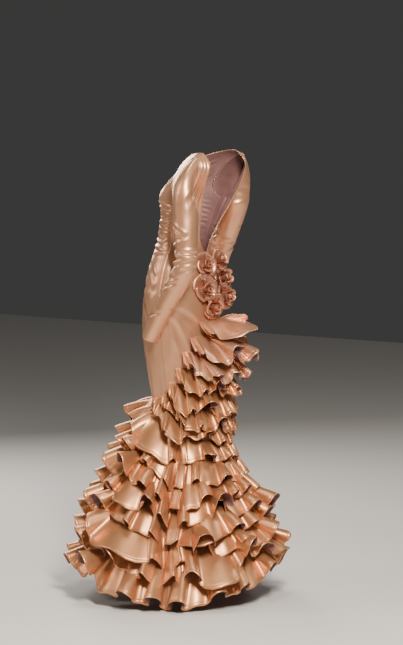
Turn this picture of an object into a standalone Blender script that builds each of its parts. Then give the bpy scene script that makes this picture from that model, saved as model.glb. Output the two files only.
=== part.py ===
"""A flared flamenco gown: fitted panels, an open back, a cascade and eight hem flounces.

The gown keeps the hollow form that a general figure gives it. Metres, +Z up, front towards -Y.
The origin lies between the two shoulder tops, where the wearer carries the gown.
"""

import math

import bmesh
import bpy
import numpy as np
from mathutils import Matrix, Vector

# Cloth and seams
PANEL_CLOTH = 0.0016
FLOUNCE_CLOTH = 0.0015
PETAL_CLOTH = 0.0012
SEAM_GAP = 0.0008
SEWN_OFF = 0.0012

# Shoulders, neckline and cups
NECK_SIDE_X = 0.105
SHOULDER_TIP_X = 0.150
SHOULDER_SLOPE = 0.30
SHOULDER_Y = 0.004
SHOULDER_ROUND = 0.060
NECKLINE_DIP = 0.028
CUP_X = 0.085
CUP_Z = -0.155
CUP_REACH = 0.040
CUP_SPREAD = 0.042
CUP_SIDE_FADE = 1.6

# The general figure inside the cloth: height, centre depth, half width, half depth front and back
RING_COLUMNS = ("z", "centre_y", "half_x", "front", "back")
RINGS = (
    (0.010, -0.004, 0.165, 0.084, 0.070),
    (-0.030, -0.010, 0.165, 0.092, 0.075),
    (-0.060, -0.018, 0.165, 0.098, 0.082),
    (-0.110, -0.040, 0.158, 0.108, 0.092),
    (-0.155, -0.062, 0.143, 0.105, 0.100),
    (-0.200, -0.085, 0.134, 0.100, 0.096),
    (-0.250, -0.108, 0.125, 0.101, 0.088),
    (-0.325, -0.135, 0.120, 0.091, 0.085),
    (-0.410, -0.147, 0.150, 0.100, 0.105),
    (-0.500, -0.151, 0.170, 0.110, 0.120),
    (-0.600, -0.150, 0.167, 0.123, 0.118),
    (-0.690, -0.145, 0.160, 0.125, 0.112),
    (-0.795, -0.137, 0.150, 0.118, 0.110),
    (-0.890, -0.132, 0.143, 0.108, 0.112),
    (-0.970, -0.135, 0.148, 0.118, 0.126),
    (-1.060, -0.142, 0.163, 0.145, 0.152),
    (-1.180, -0.152, 0.195, 0.185, 0.188),
    (-1.310, -0.165, 0.233, 0.228, 0.228),
    (-1.460, -0.179, 0.275, 0.272, 0.272),
)
PANEL_LEVELS = (
    -1.450, -1.330, -1.200, -1.080, -0.980, -0.890, -0.790, -0.690, -0.600, -0.530,
    -0.460, -0.410, -0.365, -0.325, -0.285, -0.245, -0.205, -0.172,
)
ARMHOLE_LEVELS = (-0.158, -0.140, -0.115, -0.085, -0.050)
ARMHOLE_BOTTOM = -0.172
CROWN_SHARE = 0.55
SHOULDER_GAP = 0.0022
FRONT_COLUMNS = 14
BACK_COLUMNS = 9

# Turn of the side seam and of both armhole edges, in degrees from centre front
SIDE_SEAM = ((-1.45, 92.0), (-0.90, 95.0), (-0.50, 98.0), (-0.32, 99.0), (-0.20, 88.0), (-0.172, 87.0))
ARMHOLE_FRONT = ((-0.172, 87.0), (-0.158, 75.0), (-0.140, 67.0), (-0.115, 61.0), (-0.085, 59.0), (-0.050, 60.5),
                 (-0.030, 62.5))
ARMHOLE_BACK = ((-0.172, 87.0), (-0.158, 97.0), (-0.140, 104.0), (-0.115, 109.0), (-0.085, 112.0), (-0.050, 113.0),
                (-0.030, 114.5))

# Half width of the open back at each height
BACK_OPENING = (
    (-0.370, 0.0004), (-0.345, 0.014), (-0.320, 0.030), (-0.250, 0.067), (-0.200, 0.096),
    (-0.150, 0.119), (-0.110, 0.127), (-0.085, 0.130), (-0.050, 0.127), (0.010, 0.100),
)
CROWN_OPEN = 0.012
BACK_FOLDS = 3
BACK_FOLDS_FROM = 0.2
BACK_FOLD_DEPTH = 0.0040
BACK_FOLDS_END = -0.300
BACK_FOLDS_FADE = 0.12

# Sleeve rings below the armhole: centre x, y, z and radius
SLEEVE_COLUMNS = ("x", "y", "z", "radius")
LEFT_SLEEVE = (
    (0.199, -0.006, -0.200, 0.0455),
    (0.208, -0.001, -0.260, 0.0425),
    (0.212, 0.004, -0.320, 0.0395),
    (0.215, 0.004, -0.375, 0.0385),
    (0.214, -0.022, -0.430, 0.0375),
    (0.212, -0.062, -0.495, 0.0345),
    (0.208, -0.110, -0.572, 0.0305),
    (0.205, -0.154, -0.647, 0.0270),
)
RIGHT_SLEEVE = (
    (-0.196, -0.046, -0.200, 0.0450),
    (-0.203, -0.072, -0.260, 0.0420),
    (-0.206, -0.096, -0.320, 0.0395),
    (-0.207, -0.118, -0.375, 0.0385),
    (-0.209, -0.142, -0.430, 0.0370),
    (-0.211, -0.170, -0.495, 0.0340),
    (-0.212, -0.200, -0.565, 0.0300),
    (-0.212, -0.222, -0.630, 0.0270),
)
SLEEVE_CAP_RINGS = 3
SLEEVE_CAP_BULGE = 0.024
SLEEVE_CROWN = 0.7
ARMHOLE_EASE = 0.6
SLEEVE_CLEAR = 0.009
ARMHOLE_GAP = 0.0019

# Hem flounces: height at the seam, at the edge, edge radius, edge centre, slope front to back,
# lift off the floor ahead and behind, wave height and turn of the first wave
TIER_COLUMNS = ("seam_z", "edge_z", "edge_r", "edge_y", "tilt", "lift", "wave", "turn")
TIERS = (
    (-0.945, -1.000, 0.197, -0.135, 0.070, 0.000, 0.021, 0.785),
    (-1.000, -1.075, 0.230, -0.139, 0.065, 0.000, 0.024, 1.4),
    (-1.060, -1.145, 0.260, -0.143, 0.055, 0.010, 0.026, 2.1),
    (-1.120, -1.215, 0.290, -0.150, 0.045, 0.020, 0.030, 2.9),
    (-1.180, -1.285, 0.312, -0.157, 0.035, 0.030, 0.033, 3.7),
    (-1.245, -1.360, 0.332, -0.164, 0.025, 0.050, 0.034, 4.5),
    (-1.310, -1.440, 0.355, -0.172, 0.015, 0.075, 0.036, 5.4),
    (-1.380, -1.551, 0.378, -0.180, 0.000, 0.100, 0.038, 6.3),
)
TIER_WAVES = 16
# Unevenness of the waves round a tier: how often it swells, by how much, where it starts
WAVE_SWELLS = ((1, 1.9, 0.4), (2, 1.1, 2.1), (3, 0.9, 4.0), (5, 0.45, 1.2))
FLOOR_TURN = 122.0

# Back cascade: height at the seam, front-to-back slope, edge drop, reach, half angle, waves,
# wave height, slant of the edge to the wearer's left, turn of the first wave
CASCADE_COLUMNS = ("seam_z", "slope", "drop", "reach", "half", "waves", "wave", "slant", "turn")
CASCADE = (
    (-0.592, -0.10, 0.035, 0.170, 22.0, 3, 0.022, 0.030, 0.6),
    (-0.640, -0.10, 0.070, 0.158, 36.0, 5, 0.026, 0.020, 2.2),
    (-0.690, -0.05, 0.080, 0.132, 50.0, 6, 0.024, 0.0, 0.2),
    (-0.755, 0.00, 0.085, 0.116, 62.0, 7, 0.022, 0.0, 3.0),
    (-0.820, 0.05, 0.085, 0.108, 75.0, 8, 0.021, 0.0, 1.1),
    (-0.885, 0.10, 0.082, 0.098, 88.0, 9, 0.020, 0.0, 4.2),
    (-0.950, 0.14, 0.062, 0.076, 108.0, 10, 0.016, 0.0, 2.5),
)
CASCADE_TAPER = 0.70
# Unevenness of the cascade waves, as a share of a wave and as swells a half width
CASCADE_SWELL = 0.35
CASCADE_SWELL_TURNS = 3.1
# The least distance from a tier's seam to its next column, in columns
LEAST_COLUMN = 0.35
COLUMNS_A_WAVE = 4
STRIPS = (0.0, 0.5, 1.0)
WAVE_GROWTH = 1.2
# Turn of a tier's two side joins, in degrees: the first tier's, and the step from tier to tier
JOIN_START = 88.0
JOIN_STEP = 23.0
TURN_SAMPLES = 6001

# Roses on the centre back: across, height, radius and opening turn
ROSE_COLUMNS = ("x", "z", "radius", "turn")
ROSES = (
    (0.043, -0.396, 0.0315, 0.3),
    (-0.056, -0.388, 0.0315, 1.9),
    (-0.062, -0.454, 0.0305, 3.4),
    (0.047, -0.484, 0.0320, 4.4),
    (-0.076, -0.519, 0.0310, 5.3),
    (0.044, -0.549, 0.0305, 2.7),
)
ROSE_TURNS = 2.4
ROSE_STEPS = 26
ROSE_HEART = 0.0055
ROSE_HEIGHT = 0.026
ROSE_LEVELS = (0.0, 0.55, 1.0)
ROSE_FOOT = 0.42
ROSE_FLARE = 0.8
ROSE_OPENING = 0.35
ROSE_EDGE_WAVES = 5
ROSE_EDGE_WAVE = 0.002
ROSE_OFF = 0.0008
# Steps beside and above a rose's foot that find the cloth's slope there
SLOPE_TURN = 0.01
SLOPE_Z = 0.001

SATIN = (0.78, 0.46, 0.30, 1.0)
DEEP_SATIN = (0.72, 0.38, 0.22, 1.0)
ROSE_SATIN = (0.62, 0.33, 0.22, 1.0)
SATIN_ROUGHNESS = 0.35
SHARP_ANGLE = 50.0


def smooth(xs, ys, x):
    """A curve through the points whose slope has no jump, held at both ends."""
    xs = np.asarray(xs, float)
    ys = np.asarray(ys, float)
    if xs[0] > xs[-1]:
        xs, ys = xs[::-1], ys[::-1]
    x = min(max(x, xs[0]), xs[-1])
    slopes = np.gradient(ys, xs)
    i = min(max(int(np.searchsorted(xs, x)) - 1, 0), len(xs) - 2)
    span = xs[i + 1] - xs[i]
    t = (x - xs[i]) / span
    start = (1 + 2 * t) * (1 - t) ** 2 * ys[i] + t * (1 - t) ** 2 * span * slopes[i]
    end = t * t * (3 - 2 * t) * ys[i + 1] + t * t * (t - 1) * span * slopes[i + 1]
    return float(start + end)


def read(table, x):
    """The value at x of a two-column table."""
    return smooth([row[0] for row in table], [row[1] for row in table], x)


def ring(z, column):
    """One size of the figure at a height."""
    k = RING_COLUMNS.index(column)
    return smooth([row[0] for row in RINGS], [row[k] for row in RINGS], z)


def shoulder_z(x):
    """Height of the shoulder line, falling away from the neck."""
    return SHOULDER_SLOPE * (NECK_SIDE_X - abs(x))


def top_z(x):
    """Height of the front's upper edge: a shallow boat neckline between the shoulder seams."""
    if abs(x) < NECK_SIDE_X:
        return NECKLINE_DIP * ((x / NECK_SIDE_X) ** 2 - 1)
    return shoulder_z(x)


def on_figure(z, turn):
    """The cloth's outer point at a height and a turn in radians, 0 in front and growing to the left."""
    x = ring(z, "half_x") * math.sin(turn)
    facing = math.cos(turn)
    depth = ring(z, "front") if facing > 0 else ring(z, "back")
    y = ring(z, "centre_y") - depth * facing
    if facing > 0:
        off_apex = (abs(x) - CUP_X) ** 2 + (z - CUP_Z) ** 2
        y -= CUP_REACH * min(1.0, CUP_SIDE_FADE * facing) * math.exp(-off_apex / (2 * CUP_SPREAD**2))
    below = min(max((shoulder_z(x) - z) / SHOULDER_ROUND, 0.0), 1.0)
    y = SHOULDER_Y + (y - SHOULDER_Y) * math.sqrt(1 - (1 - below) ** 2)
    return Vector((x, y, z))


def on_cloth(z, turn):
    """A point on the panels as they are built, straight between their levels."""
    above = min(level for level in PANEL_LEVELS if level >= z)
    below = max(level for level in PANEL_LEVELS if level <= z)
    if above == below:
        return on_figure(z, turn)
    share = (z - below) / (above - below)
    return on_figure(below, turn).lerp(on_figure(above, turn), share)


def turn_at(z, x):
    """The turn on the front half at which the figure reaches a distance from the middle."""
    return math.asin(min(1.0, x / ring(z, "half_x")))


def seam_turn(z):
    """Turn of the side seam in radians."""
    return math.radians(read(SIDE_SEAM, z))


def gap_turn(z, gap):
    """The turn that opens a gap at the side of the figure."""
    return gap / ring(z, "front")


def cloth_material(name, colour):
    """A satin Principled material."""
    material = bpy.data.materials.new(name)
    material.use_nodes = True
    shader = material.node_tree.nodes["Principled BSDF"]
    shader.inputs["Base Color"].default_value = colour
    shader.inputs["Roughness"].default_value = SATIN_ROUGHNESS
    shader.inputs["Metallic"].default_value = 0.0
    return material


def wall(name, rows, thickness, offset, material, ring_closed=False, flip=False):
    """A cloth wall: an open grid of rows, given its thickness by Solidify.

    rows hold the same number of points each; ring_closed joins the last column to the first.
    """
    shell = bmesh.new()
    grid = [[shell.verts.new(p) for p in row] for row in rows]
    columns = len(rows[0])
    last = columns if ring_closed else columns - 1
    for low, high in zip(grid, grid[1:]):
        for i in range(last):
            j = (i + 1) % columns
            corners = [low[i], low[j], high[j], high[i]]
            shell.faces.new(corners[::-1] if flip else corners)
    mesh = bpy.data.meshes.new(name)
    shell.to_mesh(mesh)
    shell.free()
    mesh.materials.append(material)
    piece = bpy.data.objects.new(name, mesh)
    dress.objects.link(piece)
    solid = piece.modifiers.new("cloth", "SOLIDIFY")
    solid.thickness = thickness
    solid.offset = offset
    mesh.shade_smooth()
    mesh.set_sharp_from_angle(angle=math.radians(SHARP_ANGLE))
    return piece


def crown_point(turn):
    """A point of the row between the last armhole level and the top edge."""
    x = ring(0.0, "half_x") * math.sin(turn)
    height = top_z(x) if math.cos(turn) > 0 else shoulder_z(x)
    low = ARMHOLE_LEVELS[-1]
    return on_figure(low + CROWN_SHARE * (height - low), turn)


def front_panel(material):
    """The front, from side seam to side seam and up to the boat neckline."""
    rows = []
    for z in PANEL_LEVELS + ARMHOLE_LEVELS:
        if z <= ARMHOLE_BOTTOM:
            edge = seam_turn(z) - gap_turn(z, SEAM_GAP / 2)
        else:
            edge = math.radians(read(ARMHOLE_FRONT, z))
        turns = [edge * (2 * i / FRONT_COLUMNS - 1) for i in range(FRONT_COLUMNS + 1)]
        rows.append([on_figure(z, turn) for turn in turns])
    edge = turn_at(0.0, SHOULDER_TIP_X)
    crown, top = [], []
    for i in range(FRONT_COLUMNS + 1):
        turn = edge * (2 * i / FRONT_COLUMNS - 1)
        point = on_figure(top_z(ring(0.0, "half_x") * math.sin(turn)), turn)
        top.append(Vector((point.x, min(point.y, SHOULDER_Y - SHOULDER_GAP / 2), point.z)))
        crown.append(crown_point(turn))
    rows += [crown, top]
    return wall("front_panel", rows, PANEL_CLOTH, -1, material)


def back_point(z, across, side):
    """A point of a back panel's upper or lower part; across runs from the outer edge to the middle."""
    if z <= ARMHOLE_BOTTOM:
        outer = seam_turn(z) + gap_turn(z, SEAM_GAP / 2)
    else:
        outer = math.radians(read(ARMHOLE_BACK, z))
    half_open = max(read(BACK_OPENING, z), SEAM_GAP / 2) if z > BACK_OPENING[0][0] else SEAM_GAP / 2
    inner = math.pi - turn_at(z, half_open)
    turn = outer + (inner - outer) * across
    point = on_figure(z, turn)
    if z > BACK_FOLDS_END:
        fade = min(1.0, (z - BACK_FOLDS_END) / BACK_FOLDS_FADE)
        beyond = max(0.0, across - BACK_FOLDS_FROM) / (1 - BACK_FOLDS_FROM)
        fold = BACK_FOLD_DEPTH * fade * math.sin(math.pi * BACK_FOLDS * beyond) ** 2
        point += Vector((math.sin(turn), -math.cos(turn), 0.0)) * fold
    return Vector((point.x * side, point.y, point.z))


def back_panel(name, side, material):
    """One back, from the side seam to the centre back below and to the open edge above."""
    steps = [i / BACK_COLUMNS for i in range(BACK_COLUMNS + 1)]
    rows = [[back_point(z, u, side) for u in steps] for z in PANEL_LEVELS + ARMHOLE_LEVELS]
    crown, top = [], []
    for u in steps:
        x = SHOULDER_TIP_X + (NECK_SIDE_X - SHOULDER_TIP_X) * u
        point = crown_point(math.pi - turn_at(0.0, x + CROWN_OPEN * u))
        crown.append(Vector((point.x * side, point.y, point.z)))
        top.append(Vector((x * side, SHOULDER_Y + SHOULDER_GAP / 2, shoulder_z(x))))
    rows += [crown, top]
    return wall(name, rows, PANEL_CLOTH, -1, material, flip=side < 0)


def armhole_loop(side):
    """The armhole's points: the tip of the shoulder, down the front edge, the bottom, up the back."""
    front = [on_figure(z, math.radians(read(ARMHOLE_FRONT, z))) for z in reversed(ARMHOLE_LEVELS)]
    back = [on_figure(z, math.radians(read(ARMHOLE_BACK, z))) for z in ARMHOLE_LEVELS]
    tip = Vector((SHOULDER_TIP_X, SHOULDER_Y, shoulder_z(SHOULDER_TIP_X)))
    bottom = on_figure(ARMHOLE_BOTTOM, seam_turn(ARMHOLE_BOTTOM))
    tip_turn = turn_at(0.0, SHOULDER_TIP_X)
    crown = [crown_point(tip_turn), crown_point(math.pi - tip_turn)]
    loop = [tip, crown[0]] + front + [bottom] + back + [crown[1]]
    return [Vector((p.x * side, p.y, p.z)) for p in loop]


def sleeve(name, side, path, material):
    """A long fitted sleeve: the cap from the armhole, then rings along the arm."""
    loop = armhole_loop(side)
    count = len(loop)
    centres = [Vector(row[:3]) for row in path]
    rings = []
    for k, centre in enumerate(centres):
        before = centres[max(k - 1, 0)]
        after = centres[min(k + 1, len(centres) - 1)]
        along = (after - before).normalized()
        if k == 0:
            along = Vector((0.0, 0.0, -1.0))
        out = Vector((side, 0.0, 0.0))
        out = (out - along * out.dot(along)).normalized()
        ahead = along.cross(out) * side
        if ahead.y > 0:
            ahead = -ahead
        radius = path[k][3]
        turns = [2 * math.pi * i / count for i in range(count)]
        rings.append([centre + (out * math.cos(a) + ahead * math.sin(a)) * radius for a in turns])
    middle = sum(loop, Vector()) / count
    start = []
    for p in loop:
        inward = middle - p
        inward.x = 0.0
        away = Vector((side, 0.0, 0.0)) + inward.normalized() * ARMHOLE_EASE
        start.append(p + away.normalized() * ARMHOLE_GAP)
    cap = [start]
    for k in range(1, SLEEVE_CAP_RINGS + 1):
        s = k / (SLEEVE_CAP_RINGS + 1)
        row = []
        for i, (a, b) in enumerate(zip(start, rings[0])):
            high = max(0.0, math.cos(2 * math.pi * i / count)) ** SLEEVE_CROWN
            swell = SLEEVE_CAP_BULGE * math.sin(math.pi * s) * high
            clear = SLEEVE_CLEAR * math.sin(math.pi * s)
            row.append(a.lerp(b, s) + Vector((side * (swell + clear), 0.0, swell)))
        cap.append(row)
    return wall(name, cap + rings, PANEL_CLOTH, -1, material, ring_closed=True, flip=side > 0)


def wave_phase(turn):
    """Phase of the hem waves at a turn: uneven, with wide fans between narrow flutes."""
    swell = sum(size * math.sin(times * turn + start) for times, size, start in WAVE_SWELLS)
    return TIER_WAVES * turn + swell


def turns_at_phases(phases):
    """The turns round the hem at which the waves reach the given phases."""
    turns = np.linspace(-2 * math.pi, 4 * math.pi, TURN_SAMPLES)
    return np.interp(phases, [wave_phase(t) for t in turns], turns)


def flounce_rows(seam, edge, shifts):
    """Rows of a flounce whose threads run straight from seam to edge, moved by the waves."""
    rows = []
    for t in STRIPS:
        row = []
        for a, b, shift in zip(seam, edge, shifts):
            along = b - a
            across = along.cross(Vector((0.0, 0.0, 1.0)))
            face = across.cross(along).normalized()
            row.append(a + along * t + face * shift * t**WAVE_GROWTH)
        rows.append(row)
    return rows


def sewn_point(z, turn):
    """A point on the panels for a flounce's seam, just off the cloth."""
    return on_cloth(z, turn) + Vector((math.sin(turn), -math.cos(turn), 0.0)) * SEWN_OFF


def tier_half(name, row, first, second, material):
    """One half of a hem flounce between two turns."""
    size = dict(zip(TIER_COLUMNS, row))
    step = 2 * math.pi / COLUMNS_A_WAVE
    near = (wave_phase(first) / step + LEAST_COLUMN, wave_phase(second) / step - LEAST_COLUMN)
    inner = turns_at_phases(np.arange(math.ceil(near[0]), math.floor(near[1]) + 1) * step)
    slack = SEAM_GAP / 2 / ring(size["seam_z"], "half_x")
    turns = [first + slack] + [float(a) for a in inner] + [second - slack]
    seam, edge, shifts = [], [], []
    for turn in turns:
        seam.append(sewn_point(size["seam_z"] + size["tilt"] * math.cos(turn), turn))
        lift = size["lift"] * (1 - math.cos(2 * (turn - math.radians(FLOOR_TURN)))) / 2
        z = size["edge_z"] + size["tilt"] * math.cos(turn) + lift
        out = Vector((math.sin(turn), -math.cos(turn), 0.0)) * size["edge_r"]
        edge.append(Vector((0.0, size["edge_y"], z)) + out)
        shifts.append(size["wave"] * math.cos(wave_phase(turn) + size["turn"]))
    return wall(name, flounce_rows(seam, edge, shifts), FLOUNCE_CLOTH, 0, material)


def cascade_flounce(name, row, material):
    """One open flounce across the centre back, narrowing to both ends."""
    size = dict(zip(CASCADE_COLUMNS, row))
    half = math.radians(size["half"])
    count = size["waves"] * COLUMNS_A_WAVE
    seam, edge, shifts = [], [], []
    for i in range(count + 1):
        s = 2 * i / count - 1
        s += CASCADE_SWELL / size["waves"] * math.sin(CASCADE_SWELL_TURNS * s + size["turn"])
        s = max(-1.0, min(1.0, s))
        from_back = half * s
        turn = math.pi + from_back
        z = size["seam_z"] + size["slope"] * (1 - math.cos(from_back)) / 2
        start = sewn_point(z, turn)
        narrow = 1 - CASCADE_TAPER * abs(s) ** 3
        out = Vector((math.sin(turn), -math.cos(turn), 0.0)) * size["reach"] * narrow
        drop = size["drop"] * narrow - size["slant"] * s
        seam.append(start)
        edge.append(start + out + Vector((0.0, 0.0, -drop)))
        wave = math.cos(2 * math.pi * (i + 0.5) / COLUMNS_A_WAVE + size["turn"])
        shifts.append(size["wave"] * wave * narrow)
    return wall(name, flounce_rows(seam, edge, shifts), FLOUNCE_CLOTH, 0, material)


def rose(name, row, material):
    """A rolled rose: one ribbon wound outwards from its heart, opening like a cup."""
    size = dict(zip(ROSE_COLUMNS, row))
    z = size["z"]
    turn = math.pi - math.copysign(turn_at(z, abs(size["x"])), size["x"])
    foot = on_cloth(z, turn)
    beside = on_cloth(z, turn + SLOPE_TURN) - foot
    above = on_cloth(z + SLOPE_Z, turn) - foot
    face = beside.cross(above).normalized()
    up = (Vector((0.0, 0.0, 1.0)) - face * face.z).normalized()
    level = Matrix((up.cross(face), up, face)).transposed()
    rows = []
    for level_share in ROSE_LEVELS:
        points = []
        for i in range(ROSE_STEPS + 1):
            s = i / ROSE_STEPS
            angle = size["turn"] + 2 * math.pi * ROSE_TURNS * s
            radius = ROSE_HEART + (size["radius"] - ROSE_HEART) * s
            radius *= ROSE_FOOT + (1 - ROSE_FOOT) * level_share**ROSE_FLARE
            rise = ROSE_HEIGHT * level_share * (1.0 - ROSE_OPENING * s * s)
            rise += ROSE_EDGE_WAVE * math.sin(ROSE_EDGE_WAVES * angle) * level_share * s
            points.append(Vector((radius * math.cos(angle), radius * math.sin(angle), rise)))
        rows.append([foot + face * ROSE_OFF + level @ p for p in points])
    return wall(name, rows, PETAL_CLOTH, 0, material)


for old in list(bpy.data.objects):
    bpy.data.objects.remove(old, do_unlink=True)
dress = bpy.data.collections.new("flamenco_dress")
bpy.context.scene.collection.children.link(dress)

satin = cloth_material("satin", SATIN)
deep_satin = cloth_material("deep_satin", DEEP_SATIN)
rose_satin = cloth_material("rose_satin", ROSE_SATIN)

front_panel(satin)
back_panel("back_panel_left", 1, satin)
back_panel("back_panel_right", -1, satin)
sleeve("sleeve_left", 1, LEFT_SLEEVE, satin)
sleeve("sleeve_right", -1, RIGHT_SLEEVE, satin)
for number, row in enumerate(CASCADE, 1):
    cascade_flounce(f"cascade_{number}", row, deep_satin)
for number, row in enumerate(TIERS, 1):
    seam_start = math.radians(JOIN_START + JOIN_STEP * (number - 1))
    tier_half(f"tier_{number}a", row, seam_start, seam_start + math.pi, deep_satin)
    tier_half(f"tier_{number}b", row, seam_start + math.pi, seam_start + 2 * math.pi, deep_satin)
for number, row in enumerate(ROSES, 1):
    rose(f"rose_{number}", row, rose_satin)
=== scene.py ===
"""Looks of the flamenco gown: satin panels, sleeves, back cascade, hem flounces and roses.

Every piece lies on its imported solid, in the same frame: metres, +Z up, front towards -Y, the
wearer's left towards +X, and the origin between the shoulder tops.
"""

from __future__ import annotations

import logging
import math
from dataclasses import dataclass, replace
from enum import Enum

import bpy
import numpy as np
from mathutils import Matrix, Vector

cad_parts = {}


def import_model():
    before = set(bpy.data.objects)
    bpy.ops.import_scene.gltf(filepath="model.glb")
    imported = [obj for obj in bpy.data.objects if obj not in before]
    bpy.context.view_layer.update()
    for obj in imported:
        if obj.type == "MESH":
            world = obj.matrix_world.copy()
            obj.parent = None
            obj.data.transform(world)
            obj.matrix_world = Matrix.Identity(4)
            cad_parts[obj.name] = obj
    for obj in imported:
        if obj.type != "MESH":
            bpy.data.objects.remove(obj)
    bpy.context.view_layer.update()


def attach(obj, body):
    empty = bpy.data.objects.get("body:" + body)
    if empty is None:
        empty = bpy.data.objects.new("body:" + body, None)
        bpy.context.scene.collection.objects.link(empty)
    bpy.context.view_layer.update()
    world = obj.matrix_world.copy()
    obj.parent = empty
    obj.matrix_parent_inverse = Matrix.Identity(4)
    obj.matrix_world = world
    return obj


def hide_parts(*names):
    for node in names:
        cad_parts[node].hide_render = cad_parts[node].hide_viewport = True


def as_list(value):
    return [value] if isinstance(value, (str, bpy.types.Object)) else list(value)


LOG = logging.getLogger("gown")
BODY = "root"
TURN = 2 * math.pi
# Millimetres in a metre
MM = 1000
Span = tuple[float, float]
Colour = tuple[float, float, float]


class Side(Enum):
    """A side of the wearer."""

    LEFT = 1
    RIGHT = -1


class Hold(Enum):
    """How a sheet of cloth hangs."""

    HUNG = "hung"
    GATHERED = "gathered"


class Slot(Enum):
    """Names of material slots."""

    SATIN = "satin"
    DEEP = "deep_satin"
    ROSE = "rose_satin"


class SmoothCurve:
    """A curve through given points whose slope has no jump, held at both ends."""

    def __init__(self, xs: list[float], ys: list[float]) -> None:
        """Sorts the points and works out their slopes.

        Args:
            xs: where the points lie.
            ys: the value at each point.
        """
        order = np.argsort(xs)
        self.xs = np.asarray(xs, float)[order]
        self.ys = np.asarray(ys, float)[order]
        self.slopes = np.gradient(self.ys, self.xs)

    def __call__(self, x: np.ndarray | float) -> np.ndarray:
        """The curve's value.

        Args:
            x: one place or many.

        Returns:
            The values there.
        """
        x = np.clip(np.asarray(x, float), self.xs[0], self.xs[-1])
        i = np.clip(np.searchsorted(self.xs, x) - 1, 0, len(self.xs) - 2)
        span = self.xs[i + 1] - self.xs[i]
        t = (x - self.xs[i]) / span
        start = (1 + 2 * t) * (1 - t) ** 2 * self.ys[i] + t * (1 - t) ** 2 * span * self.slopes[i]
        end = t * t * (3 - 2 * t) * self.ys[i + 1] + t * t * (t - 1) * span * self.slopes[i + 1]
        return start + end


def rise(x: np.ndarray | float, low: float, high: float) -> np.ndarray:
    """A soft step.

    Args:
        x: the value or values.
        low: where the step starts, at 0.
        high: where it ends, at 1.

    Returns:
        From 0 to 1.
    """
    t = np.clip((np.asarray(x, float) - low) / (high - low), 0.0, 1.0)
    return t * t * (3 - 2 * t)


def outward(turn: np.ndarray | float) -> np.ndarray:
    """The level direction away from the middle at a turn from centre front."""
    turn = np.asarray(turn, float)
    return np.stack([np.sin(turn), -np.cos(turn), np.zeros_like(turn)], axis=-1)


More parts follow.
